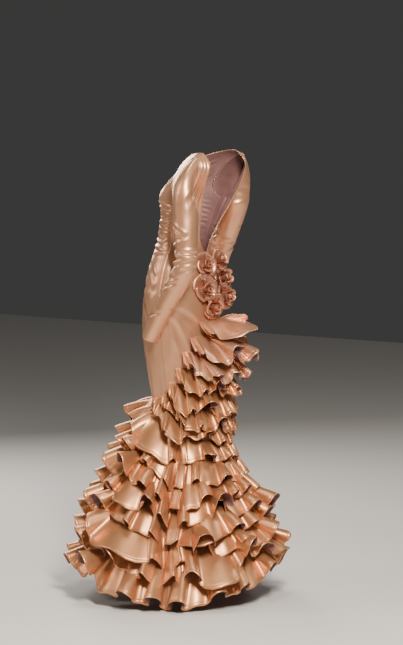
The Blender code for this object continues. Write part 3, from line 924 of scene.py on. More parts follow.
@dataclass
class Sleeve:
    """A long fitted sleeve, from the armhole to the wrist."""

    side: Side
    # Centre x, y, z and radius below the armhole
    path: tuple[tuple[float, float, float, float], ...]
    # Lengths round from the outside of the arm towards its front
    creases: tuple[Crease, ...]
    rumples: tuple[Rumple, ...]
    levels: tuple[float, ...] = (-0.158, -0.140, -0.115, -0.085, -0.050)
    cap_rings: int = 3
    cap_bulge: float = 0.024
    crown: float = 0.7
    ease: float = 0.6
    gap: float = 0.0019
    clear: float = 0.005
    rows: int = 200
    columns: int = 84
    # Rows that each point of the cap is averaged over, and where that begins and ends
    soft_spread: float = 7.0
    soft_rows: tuple[tuple[int, int], tuple[int, int]] = ((3, 26), (90, 130))
    pucker: float = 0.0006
    pucker_start: float = 0.006
    pucker_length: float = 0.030
    puckers: int = 34
    # Length of cloth next to the armhole that keeps free of creases
    calm: float = 0.060

    def _crown_point(self, turn: float) -> np.ndarray:
        """A point between the armhole's upper level and the shoulder.

        Args:
            turn: its turn from centre front.

        Returns:
            The point.
        """
        x = FIGURE.ring["half_x"](0.0) * math.sin(turn)
        height = FIGURE.top_z(x) if math.cos(turn) > 0 else FIGURE.shoulder_z(x)
        return FIGURE.on(FIGURE.armhole_top + FIGURE.crown_share * (height - FIGURE.armhole_top), turn)

    def _loop(self) -> np.ndarray:
        """The armhole: the tip of the shoulder, down in front, the bottom and up behind.

        Returns:
            Its points.
        """
        front = [FIGURE.on(z, np.radians(FIGURE.front_hole_at(z))) for z in reversed(self.levels)]
        back = [FIGURE.on(z, np.radians(FIGURE.back_hole_at(z))) for z in self.levels]
        tip_x = FIGURE.shoulder_tip_x
        tip = np.array([tip_x, FIGURE.shoulder_y, float(FIGURE.shoulder_z(np.array(tip_x)))])
        bottom = FIGURE.on(FIGURE.armhole_bottom, np.radians(FIGURE.seam_at(FIGURE.armhole_bottom)))
        tip_turn = float(FIGURE.turn_at(0.0, tip_x))
        ahead, behind = self._crown_point(tip_turn), self._crown_point(math.pi - tip_turn)
        return np.array([tip, ahead, *front, bottom, *back, behind]) * (self.side.value, 1, 1)

    def _ring(self, k: int, count: int) -> np.ndarray:
        """One ring of points round the arm.

        Args:
            k: which row of the path.
            count: how many points.

        Returns:
            The points.
        """
        side = self.side.value
        centres = np.array([row[:3] for row in self.path])
        along = centres[min(k + 1, len(centres) - 1)] - centres[max(k - 1, 0)]
        along = np.array([0.0, 0.0, -1.0]) if k == 0 else along / np.linalg.norm(along)
        out = np.array([side, 0.0, 0.0])
        out = out - along * out.dot(along)
        out /= np.linalg.norm(out)
        ahead = np.cross(along, out) * side
        ahead = -ahead if ahead[1] > 0 else ahead
        angle = (TURN * np.arange(count) / count)[:, None]
        return centres[k] + (out * np.cos(angle) + ahead * np.sin(angle)) * self.path[k][3]

    def _net(self) -> np.ndarray:
        """Rings of points from the armhole over the cap and down the arm.

        Returns:
            The rings.
        """
        loop, side = self._loop(), self.side.value
        count = len(loop)
        rings = [self._ring(k, count) for k in range(len(self.path))]
        inward = loop.mean(axis=0) - loop
        inward[:, 0] = 0.0
        inward /= np.linalg.norm(inward, axis=1, keepdims=True)
        away = np.array([side, 0.0, 0.0]) + inward * self.ease
        start = loop + away / np.linalg.norm(away, axis=1, keepdims=True) * self.gap
        high = np.maximum(0.0, np.cos(TURN * np.arange(count) / count)) ** self.crown
        cap = [start]
        for s in np.linspace(0, 1, self.cap_rings + 2)[1:-1]:
            arch = math.sin(math.pi * s)
            swell = self.cap_bulge * arch * high
            row = start * (1 - s) + rings[0] * s
            row[:, 0] += side * (swell + self.clear * arch)
            row[:, 2] += swell
            cap.append(row)
        return np.array(cap + rings)

    def build(self) -> None:
        """Builds the sleeve, a closed tube with its creases and the puckers at its seam."""
        grid = soften(refine(self._net(), self.rows, self.columns, True), self.soft_spread, *self.soft_rows)
        face = normals(grid, True)
        if np.sum(face[..., 0] * (grid[..., 0] - grid[..., 0].mean(axis=1, keepdims=True))) < 0:
            face = -face
        angle = np.linspace(0, TURN, self.columns, endpoint=False)
        known = np.linspace(0, self.rows - 1, len(self.path))
        radius = np.interp(np.arange(self.rows), known, [row[3] for row in self.path])[:, None]
        shift = np.zeros(grid.shape[:2])
        small = [crease for rumple in self.rumples for crease in rumple.creases()]
        for crease in (*self.creases, *small):
            for lap in (-TURN, 0, TURN):
                shift += crease.depth_at((angle + lap) * radius, grid[..., 2])
        down = walked(grid, 0).mean(axis=1)[:, None]
        shift *= rise(down, self.calm / 4, self.calm)
        pucker = np.sin(self.puckers * angle + 2.0 * np.sin(3 * angle))
        pucker = pucker * (0.6 + 0.4 * np.sin(5 * angle + 1.0))
        near = np.exp(-((down / self.pucker_length) ** 2)) * rise(down, 0.0, self.pucker_start)
        grid = grid + face * (shift + self.pucker * pucker * near)[..., None]
        side = self.side.name.lower()
        cloth = Cloth(f"gown_sleeve_{side}", grid, PEACH, Slot.SATIN, True, self.side is Side.RIGHT)
        cloth.build([f"sleeve_{side}"], Hold.HUNG, [f"gown_back_{side}"])


LEFT_SLEEVE = Sleeve(
    Side.LEFT,
    (
        (0.199, -0.006, -0.200, 0.0455), (0.208, -0.001, -0.260, 0.0425), (0.212, 0.004, -0.320, 0.0395),
        (0.215, 0.004, -0.375, 0.0385), (0.214, -0.022, -0.430, 0.0375), (0.212, -0.062, -0.495, 0.0345),
        (0.208, -0.110, -0.572, 0.0305), (0.205, -0.154, -0.647, 0.0270),
    ),
    creases(
        (50, -118, 90, 74, 12, 2.6, 6), (78, -166, 110, 72, 14, 1.2, 6), (210, -150, 84, -66, 13, 1.8, 5),
        (18, -262, 95, 32, 8.8, 3.2, 6), (60, -300, 110, 18, 10, 3.4, 8), (55, -328, 120, 8, 10, 4, 8),
        (50, -356, 120, -6, 10, 4.2, -6), (52, -384, 110, -20, 9.5, 3.8, -8),
        (60, -412, 95, -30, 8.1, 4.2, -6), (190, -346, 90, 10, 9.5, 3.2, 6),
        (180, -386, 90, -14, 9.5, 3.2, -6), (20, -460, 90, -26, 8.1, 3, 6),
        (60, -500, 78, 20, 7.4, 2.8, 5), (15, -560, 78, -18, 6.8, 2.5, 4),
        (60, -600, 67, 14, 6.1, 2.5, 4), (100, -628, 67, -8, 5.4, 2.2, 3),
    ),
    (
        Rumple(21, 8, (0, 140), (-430, -280), (70, 120), (-22, 12), (7, 11), (0.8, 2)),
        Rumple(22, 6, (120, 250), (-430, -280), (60, 100), (-16, 16), (7, 11), (0.5, 1.2)),
        Rumple(23, 6, (0, 200), (-640, -470), (50, 90), (-24, 24), (5, 8), (0.6, 1.4)),
        Rumple(24, 5, (0, 260), (-270, -120), (80, 140), (60, 110), (9, 15), (0.8, 1.8)),
    ),
)
RIGHT_SLEEVE = Sleeve(
    Side.RIGHT,
    (
        (-0.196, -0.046, -0.200, 0.0450), (-0.203, -0.072, -0.260, 0.0420), (-0.206, -0.096, -0.320, 0.0395),
        (-0.207, -0.118, -0.375, 0.0385), (-0.209, -0.142, -0.430, 0.0370), (-0.211, -0.170, -0.495, 0.0340),
        (-0.212, -0.200, -0.565, 0.0300), (-0.212, -0.222, -0.630, 0.0270),
    ),
    creases(
        (60, -122, 90, 70, 12, 2.6, 6), (200, -160, 90, -60, 13, 1.8, 6), (40, -240, 95, 24, 8.8, 3.2, 6),
        (70, -318, 101, 12, 9.5, 4, 7), (66, -350, 106, -4, 9.5, 4.5, -6),
        (64, -382, 101, -18, 8.8, 4.2, -7), (180, -360, 90, 8, 9.5, 3, 6), (30, -450, 90, -22, 8.1, 3, 6),
        (120, -500, 78, 18, 7.4, 2.8, 5), (20, -550, 78, -14, 6.8, 2.5, 4),
        (70, -598, 67, 10, 6.1, 2.2, 3),
    ),
    (
        Rumple(31, 8, (0, 140), (-410, -280), (70, 120), (-20, 14), (7, 11), (0.8, 2)),
        Rumple(32, 6, (120, 250), (-410, -280), (60, 100), (-16, 16), (7, 11), (0.5, 1.2)),
        Rumple(33, 6, (0, 200), (-620, -450), (50, 90), (-24, 24), (5, 8), (0.6, 1.4)),
        Rumple(34, 5, (0, 260), (-270, -120), (80, 140), (60, 110), (9, 15), (0.8, 1.8)),
    ),
)


@dataclass(frozen=True)
class Flute:
    """One tight cone of a flounce, between two fans."""

    # Place round the flounce's base, 0 to 1, length of cloth in it and its steepest slope in degrees
    place: float
    cloth: float
    bend: float


@dataclass(frozen=True)
class Fan:
    """A stretch of a flounce that falls longer or shorter than the rest and stands off or is drawn in."""

    # Middle and width round the base, 0 to 1, and how far it falls and stands off
    place: float
    width: float
    fall: float
    off: float
    # From full to none, in half widths from the middle
    fade: Span = (0.45, 1.25)

    def share(self, place: np.ndarray) -> np.ndarray:
        """How much of the stretch's fall each place has, from 0 to 1."""
        away = np.abs((place - self.place + 0.5) % 1.0 - 0.5) / (self.width / 2)
        return 1 - rise(away, *self.fade)


def lifted(place: float, fans: list[Fan]) -> bool:
    """Whether a flute at a place is in a stretch that is lifted, which opens it."""
    return any(fan.fall < 0 and abs(place - fan.place) < fan.width / 2 for fan in fans)


@dataclass
class Flounce:
    """Cloth in straight threads from its seam to an edge of wide fans and tight flutes."""

    name: str
    # Base lines of the seam and of the edge, sampled evenly along the piece
    seam: np.ndarray
    edge: np.ndarray
    flutes: list[Flute]
    fans: list[Fan]
    closed: bool
    seed: int
    drift: float = 0.35
    rows: int = 24
    flute_columns: int = 18
    fan_columns: int = 7
    # Half of a flute that is its round crest, and how much of the room between neighbours it may take
    crest: float = 0.62
    crowding: float = 0.90
    least_advance: float = 0.05
    least_fan: float = 0.001
    growth: float = 1.25
    fan_bulge: float = 0.12
    fan_most: float = 0.022
    fan_round: float = 1.3
    # Share of a flute that lies below the base line
    sink: float = 0.36
    belly: float = 0.006
    # Depth of the gathers, their length and where they end down the cloth
    gather: float = 0.0022
    gather_length: float = 0.034
    gather_start: float = 0.008
    gather_end: float = 0.030
    hem: float = 0.010
    hem_near: float = 0.0016
    stitch_width: float = 0.0012
    stitch_depth: float = 0.0006
    droop: float = 0.012
    lean: float = 0.012
    lean_length: float = 0.16
    # Lengths of the uneven waves in the droop and belly, the gathers' phase and their depth
    slow: float = 0.13
    phase_length: float = 0.11
    depth_length: float = 0.17
    cloth: float = 0.0013

    def _read(self, line: np.ndarray, place: np.ndarray) -> np.ndarray:
        """Points of a base line.

        Args:
            line: the base line.
            place: places along it, from 0 to 1.

        Returns:
            The points.
        """
        if self.closed:
            line = np.concatenate([line, line[:1]])
            place = np.mod(place, 1.0)
        known = np.linspace(0, 1, len(line))
        return np.stack([np.interp(place, known, line[:, k]) for k in range(3)], axis=-1)

    def _slopes(self, flute: Flute) -> np.ndarray:
        """Slopes of the cloth's edge through a flute, up one side and down the other.

        Args:
            flute: the flute.

        Returns:
            One slope for each step of cloth, in radians.
        """
        ends = np.linspace(-1, 1, self.flute_columns + 1)
        walk = (ends[1:] + ends[:-1]) / 2
        out = np.abs(walk)
        steep = np.where(out < self.crest, out / self.crest, (1 - out) / (1 - self.crest))
        return -math.radians(flute.bend) * np.sign(walk) * steep

    def _advance(self, flute: Flute) -> float:
        """How far a flute carries the edge forward, as a share of its cloth."""
        return float(np.cos(self._slopes(flute)).mean())

    def _fitted(self, length: float) -> list[Flute]:
        """Puts the flutes in order and takes cloth from those that would run into their neighbours.

        Args:
            length: the base line's length.

        Returns:
            The flutes that fit.
        """
        flutes = sorted(self.flutes, key=lambda flute: flute.place)
        fitted = []
        for k, flute in enumerate(flutes):
            before, after = flutes[k - 1].place, flutes[(k + 1) % len(flutes)].place
            room = min((flute.place - before) % 1.0 or 1.0, (after - flute.place) % 1.0 or 1.0)
            if not self.closed:
                room = min(room, 2 * flute.place, 2 * (1 - flute.place))
            most = self.crowding * room * length / max(self._advance(flute), self.least_advance)
            fitted.append(replace(flute, cloth=min(flute.cloth, most)))
        return fitted

    def _fan(self, start: float, end: float, lows: Span, total: float) -> np.ndarray:
        """A wide fan, a shallow arch between two flutes.

        Args:
            start: where it starts along the base line.
            end: where it ends.
            lows: its heights there.
            total: the length of cloth before it.

        Returns:
            Three rows, of places, heights and lengths of cloth.
        """
        share = np.linspace(0, 1, self.fan_columns + 1)
        bulge = min(self.fan_bulge * (end - start), self.fan_most)
        arch = lows[0] + (lows[1] - lows[0]) * share + bulge * np.sin(math.pi * share) ** self.fan_round
        return np.stack([start + (end - start) * share, arch, total + (end - start) * share])

    def _edge_line(self, length: float) -> np.ndarray:
        """Walks the cloth's edge through its flutes and fans.

        Args:
            length: the base line's length.

        Returns:
            Three rows, of places along the base, heights off it and lengths of cloth.
        """
        cones = []
        for flute in self._fitted(length):
            slopes, step = self._slopes(flute), flute.cloth / self.flute_columns
            across = np.insert(np.cumsum(np.cos(slopes) * step), 0, 0.0)
            up = np.insert(np.cumsum(np.sin(slopes) * step), 0, 0.0)
            start = flute.place * length - across[-1] / 2
            cones.append(np.stack([start + across, up - self.sink * up.max(), step * np.arange(len(up))]))
        line, total = [], 0.0
        if not self.closed:
            line.append(self._fan(0.0, max(cones[0][0, 0], 2 * self.least_fan), (0.0, 0.0), total))
            total = line[-1][2, -1]
        for k, cone in enumerate(cones):
            line.append(cone + np.array([[0.0], [0.0], [total]]))
            end, last = cone[0, -1], k + 1 == len(cones)
            following, low = cones[(k + 1) % len(cones)][:2, 0]
            if last and self.closed:
                following += length
            elif last:
                following, low = max(length, end + 2 * self.least_fan), 0.0
            fan = self._fan(end, max(following, end + self.least_fan), (cone[1, 0], low), line[-1][2, -1])
            total = fan[2, -1]
            line.append(fan[:, 1:] if last and not self.closed else fan[:, 1:-1])
        return np.concatenate(line, axis=1)

    def _threads(self, place: np.ndarray, cloth_share: np.ndarray) -> np.ndarray:
        """Where each thread starts on the seam.

        Args:
            place: where it ends on the edge's base line.
            cloth_share: the share of the cloth up to it.

        Returns:
            Places along the seam, which never run back.
        """
        smooth = np.maximum.accumulate(place)
        reach = (self.flute_columns + self.fan_columns) // 2
        width = 2 * reach + 1
        before, after = np.full(reach, smooth[0]), np.full(reach, smooth[-1])
        if self.closed:
            before, after = smooth[-reach:] - 1, smooth[:reach] + 1
        smooth = np.convolve(np.concatenate([before, smooth, after]), np.ones(width) / width, "valid")
        mixed = smooth * (1 - self.drift) + (place[0] + cloth_share) * self.drift
        if not self.closed:
            mixed = np.clip((mixed - mixed[0]) / (mixed[-1] - mixed[0]), 0, 1)
        ends = 1.0 if self.closed else np.sin(math.pi * np.clip(place, 0, 1))
        return mixed + self.lean * ends * uneven(place, self.seed + 7, self.lean_length)

    def _face(self, place: np.ndarray, down: np.ndarray) -> np.ndarray:
        """The directions out of the cloth, which never point down.

        Args:
            place: places along the edge's base line.
            down: the way from the seam to the edge at each.

        Returns:
            Unit directions.
        """
        beside = 0.004 if self.closed else 0.01
        side = self._read(self.edge, place + beside) - self._read(self.edge, place - beside)
        face = np.cross(side, down)
        face /= np.linalg.norm(face, axis=1, keepdims=True)
        return face * np.where(face[:, 2:3] < 0, -1, 1)

    def grid(self) -> np.ndarray:
        """The flounce's points.

        Returns:
            Rows from the seam to the edge.
        """
        run = walked(np.concatenate([self.edge, self.edge[:1]]) if self.closed else self.edge, 0)
        length = float(run[-1])
        along, high, used = self._edge_line(length)
        laps = np.floor(along / length) if self.closed else 0.0
        place = np.interp(along / length - laps, run / length, np.linspace(0, 1, len(run))) + laps
        cloth_round = used[-1]
        if self.closed:
            slack = sum(flute.cloth * (1 - self._advance(flute)) for flute in self._fitted(length))
            cloth_round = length + slack
        wave = place if self.closed else used / cloth_round
        seam = self._read(self.seam, self._threads(place, used / cloth_round))
        base = self._read(self.edge, place)
        down = base - self._read(self.seam, place)
        face = self._face(place, down)
        drop = np.linalg.norm(down, axis=1)
        mean_drop = float(drop.mean())
        droop = self.droop * uneven(wave, self.seed + 5, self.slow)
        fall = sum((fan.fall * fan.share(place) for fan in self.fans), droop)
        high = sum((fan.off * fan.share(place) for fan in self.fans), high)
        edge = base + down / drop[:, None] * fall[:, None]
        hem = mean_drop - self.hem
        near_hem = np.array([hem - self.hem_near, hem, hem + self.hem_near]) / mean_drop
        share = np.sort(np.append(np.linspace(0, 1, self.rows), near_hem))[:, None]
        metres = share * mean_drop
        belly = self.belly * np.sin(math.pi * share) * (1 + 0.4 * uneven(wave, self.seed + 6, self.slow))
        fine = np.sin(TURN * used / self.gather_length + 2.4 * uneven(wave, self.seed + 3, self.phase_length))
        fine = fine * (0.55 + 0.45 * uneven(wave, self.seed + 4, self.depth_length))
        near = np.exp(-((metres / self.gather_end) ** 2)) * rise(metres, 0.0, self.gather_start)
        off = high * share**self.growth + belly + self.gather * fine * near
        points = seam * (1 - share[..., None]) + edge * share[..., None] + face * off[..., None]
        stitch = self.stitch_depth * np.exp(-(((metres - hem) / self.stitch_width) ** 2))
        return points + normals(points, self.closed) * stitch[..., None]

    def build(self, finish: Finish, rests_on: list[str], nodes: list[str]) -> None:
        """Builds the flounce.

        Args:
            finish: its face.
            rests_on: what it is sewn to.
            nodes: the solids that it stands for.
        """
        cloth = Cloth(self.name, self.grid(), finish, Slot.DEEP, self.closed, True, self.cloth, 0.0)
        cloth.build(nodes, Hold.GATHERED, rests_on)


@dataclass
class Hem:
    """The eight flounces round the hem."""

    sewn_off: float = 0.0012
    samples: int = 360
    floor_turn: float = math.radians(122.0)
    # Seam height, edge height, radius and centre, slope, lift off the floor, cloth in a flute, side dip
    tiers: tuple[tuple[float, ...], ...] = (
        (-0.945, -1.000, 0.197, -0.135, 0.070, 0.000, 0.112, 0.026),
        (-1.000, -1.075, 0.230, -0.139, 0.065, 0.000, 0.130, 0.030),
        (-1.060, -1.145, 0.260, -0.143, 0.055, 0.010, 0.146, 0.030),
        (-1.120, -1.215, 0.290, -0.150, 0.045, 0.020, 0.160, 0.028),
        (-1.180, -1.285, 0.312, -0.157, 0.035, 0.030, 0.172, 0.024),
        (-1.245, -1.360, 0.332, -0.164, 0.025, 0.050, 0.182, 0.020),
        (-1.310, -1.440, 0.355, -0.172, 0.015, 0.075, 0.190, 0.014),
        (-1.380, -1.551, 0.378, -0.180, 0.000, 0.100, 0.198, 0.004),
    )
    # Where the flounces dip at both sides, in degrees, and over how wide a stretch
    dip_turn: float = 114.0
    dip_width: float = 27.0
    # Turns of the flutes on the wearer's left and behind, in degrees, with wide fans between them
    flutes: tuple[tuple[float, ...], ...] = (
        (38, 60, 112, 124, 150, 176),
        (46, 63, 84, 108, 119, 134, 160, 186),
        (40, 68, 88, 105, 117, 142, 166, 182),
        (34, 60, 97, 110, 124, 153, 184),
        (40, 57, 86, 106, 118, 164, 180),
        (30, 58, 110, 122, 139, 168),
        (28, 52, 80, 106, 119, 132, 170, 184),
        (40, 66, 95, 111, 123, 146, 162, 186),
    )
    # Stretches of each flounce: middle turn, width in degrees, fall and stand-off
    long_fans: tuple[tuple[tuple[float, float, float, float], ...], ...] = (
        ((86, 44, 0.050, 0.012), (118, 14, 0.004, -0.018), (212, 70, 0.0, -0.032), (276, 40, 0.040, 0.010)),
        ((62, 16, -0.016, 0.014), (114, 16, 0.010, -0.024), (147, 22, 0.020, 0.010), (212, 64, 0.0, -0.026)),
        ((52, 18, 0.030, 0.012), (68, 12, -0.024, 0.028), (111, 16, 0.010, -0.032), (127, 20, 0.022, 0.016),
         (212, 50, 0.0, -0.014), (310, 34, 0.035, 0.012)),
        ((78, 24, 0.024, 0.012), (97, 12, -0.024, 0.030), (115, 14, 0.010, -0.034), (152, 14, -0.026, 0.026),
         (200, 26, 0.030, 0.012)),
        ((48, 14, 0.020, 0.008), (112, 18, 0.010, -0.038), (140, 26, 0.036, 0.016), (262, 40, 0.035, 0.012)),
        ((83, 46, 0.060, 0.022), (116, 16, 0.010, -0.038), (139, 12, -0.026, 0.030), (182, 24, 0.030, 0.012),
         (330, 30, 0.030, 0.010)),
        ((112, 16, 0.010, -0.034), (147, 28, 0.060, 0.022), (170, 12, -0.024, 0.028), (198, 26, 0.040, 0.014),
         (240, 30, 0.030, 0.012)),
        ((66, 14, -0.030, 0.020), (117, 16, -0.016, -0.024)),
    )
    # How much more cloth a lifted flute has than its neighbours, and its slope
    opened: tuple[float, float] = (1.6, 132.0)
    sizes: Span = (0.70, 1.40)
    bends: Span = (92, 138)
    # Mean turn between seeded flutes, the range round it, and the room before the first flute
    spacing: float = 21.0
    spaces: Span = (0.6, 1.45)
    first_space: Span = (0.8, 1.3)
    last_space: float = 0.7
    # Shares of the dip at the seam and at the edge
    seam_sag: float = 0.35
    edge_sag: float = 1.6

    def _flutes(self, number: int, cloth: float, fans: list[Fan]) -> list[Flute]:
        """The placed flutes and seeded ones for the sides that they leave free.

        Args:
            number: which flounce.
            cloth: the cloth in a flute.
            fans: the flounce's stretches.

        Returns:
            The flutes.
        """
        dice = np.random.default_rng(900 + number)
        turns = list(self.flutes[number])
        last = turns[0] + 360 - self.last_space * self.spacing
        at = turns[-1] + self.spacing * dice.uniform(*self.first_space)
        while at < last:
            turns.append(at)
            at += self.spacing * dice.uniform(*self.spaces)
        result = []
        for turn in turns:
            size, bend = dice.uniform(*self.sizes), dice.uniform(*self.bends)
            if lifted(turn / 360, fans):
                size, bend = self.opened
            result.append(Flute(turn % 360 / 360, cloth * size, bend))
        return result

    def build(self) -> None:
        """Builds the eight flounces from the top down."""
        turn = np.linspace(0, TURN, self.samples, endpoint=False)
        degrees = np.degrees(turn)
        away = np.abs(degrees - np.where(degrees < 180, self.dip_turn, 360 - self.dip_turn))
        for number, (seam_z, edge_z, edge_r, edge_y, tilt, lift, cloth, dip) in enumerate(self.tiers):
            sag = dip * np.exp(-((away / self.dip_width) ** 2))
            seam_line = seam_z + tilt * np.cos(turn) - self.seam_sag * sag
            seam = FIGURE.on(seam_line, turn) + outward(turn) * self.sewn_off
            off_floor = lift * (1 - np.cos(2 * (turn - self.floor_turn))) / 2
            edge = outward(turn) * edge_r
            edge[:, 1] += edge_y
            edge[:, 2] = edge_z + tilt * np.cos(turn) + off_floor - self.edge_sag * sag
            rows = self.long_fans[number]
            fans = [Fan(middle / 360, wide / 360, fall, off) for middle, wide, fall, off in rows]
            flutes = self._flutes(number, cloth, fans)
            flounce = Flounce(f"gown_flounce_{number + 1}", seam, edge, flutes, fans, True, 40 + number)
            flounce.build(COPPER, ["gown_front"], [f"tier_{number + 1}a", f"tier_{number + 1}b"])


@dataclass
class Cascade:
    """The open flounces across the centre back, below the roses."""

    sewn_off: float = 0.0012
    taper: float = 0.70
    samples: int = 200
    drift: float = 0.25
    # How many of the upper flounces have the bodice's finish
    peach: int = 3
    # Seam height, slope, drop, reach, half angle, slant, cloth in a flute
    flounces: tuple[tuple[float, ...], ...] = (
        (-0.592, -0.10, 0.035, 0.170, 22.0, 0.030, 0.125),
        (-0.640, -0.10, 0.074, 0.152, 36.0, 0.020, 0.130),
        (-0.690, -0.05, 0.096, 0.122, 50.0, 0.0, 0.118),
        (-0.755, 0.00, 0.088, 0.098, 62.0, 0.0, 0.106),
        (-0.820, 0.05, 0.098, 0.086, 75.0, 0.0, 0.108),
        (-0.885, 0.10, 0.084, 0.074, 88.0, 0.0, 0.098),
        (-0.950, 0.14, 0.068, 0.062, 108.0, 0.0, 0.088),
    )
    # Places of the flutes from the wearer's left to the right end
    flutes: tuple[tuple[float, ...], ...] = (
        (0.09, 0.86),
        (0.09, 0.38, 0.58, 0.87),
        (0.09, 0.26, 0.46, 0.66, 0.88),
        (0.07, 0.24, 0.34, 0.54, 0.72, 0.90),
        (0.06, 0.20, 0.31, 0.47, 0.58, 0.75, 0.92),
        (0.05, 0.17, 0.28, 0.42, 0.52, 0.66, 0.80, 0.93),
        (0.04, 0.14, 0.24, 0.36, 0.45, 0.56, 0.68, 0.80, 0.94),
    )
    # Stretches of each flounce: middle and width from 0 to 1, fall and stand-off
    stretches: tuple[tuple[tuple[float, float, float, float], ...], ...] = (
        ((0.50, 0.40, 0.010, 0.004),),
        ((0.38, 0.16, -0.010, 0.010), (0.64, 0.24, 0.016, -0.006)),
        ((0.28, 0.22, 0.020, 0.010), (0.80, 0.34, 0.006, -0.022)),
        ((0.14, 0.14, 0.022, 0.008), (0.34, 0.10, -0.016, 0.014), (0.76, 0.40, 0.0, -0.032)),
        ((0.12, 0.12, 0.046, 0.012), (0.31, 0.12, -0.022, 0.018), (0.71, 0.38, 0.0, -0.036)),
        ((0.22, 0.14, 0.030, 0.012), (0.42, 0.08, -0.014, 0.010), (0.68, 0.36, 0.0, -0.036)),
        ((0.18, 0.14, 0.046, 0.014), (0.36, 0.10, -0.018, 0.014), (0.65, 0.34, 0.0, -0.034)),
    )
    opened: tuple[float, float] = (1.45, 130.0)
    sizes: Span = (0.75, 1.15)
    bends: Span = (92, 132)
    # How much less cloth the flutes at both ends have
    end_loss: float = 0.45

    def _flutes(self, number: int, cloth: float, fans: list[Fan]) -> list[Flute]:
        """The placed flutes with seeded sizes.

        Args:
            number: which flounce.
            cloth: the cloth in a flute.
            fans: the flounce's stretches.

        Returns:
            The flutes.
        """
        dice = np.random.default_rng(300 + number)
        result = []
        for place in self.flutes[number]:
            size = dice.uniform(*self.sizes) * (1 - self.end_loss * abs(2 * place - 1) ** 3)
            bend = dice.uniform(*self.bends)
            if lifted(place, fans):
                size, bend = self.opened
            result.append(Flute(place, cloth * size, bend))
        return result

    def build(self) -> None:
        """Builds the seven flounces from the top down."""
        s = np.linspace(-1, 1, self.samples)
        narrow = 1 - self.taper * np.abs(s) ** 3
        for number, (seam_z, slope, drop, reach, half, slant, cloth) in enumerate(self.flounces):
            from_back = math.radians(half) * s
            out = outward(math.pi + from_back)
            seam_line = seam_z + slope * (1 - np.cos(from_back)) / 2
            seam = FIGURE.on(seam_line, math.pi + from_back) + out * self.sewn_off
            edge = seam + out * (reach * narrow)[:, None]
            edge[:, 2] -= drop * narrow - slant * s
            fans = [Fan(*stretch) for stretch in self.stretches[number]]
            flutes = self._flutes(number, cloth, fans)
            name = f"gown_cascade_{number + 1}"
            flounce = Flounce(name, seam, edge, flutes, fans, False, 70 + number, self.drift)
            finish = PEACH if number < self.peach else COPPER
            flounce.build(finish, ["gown_back_left", "gown_back_right"], [f"cascade_{number + 1}"])


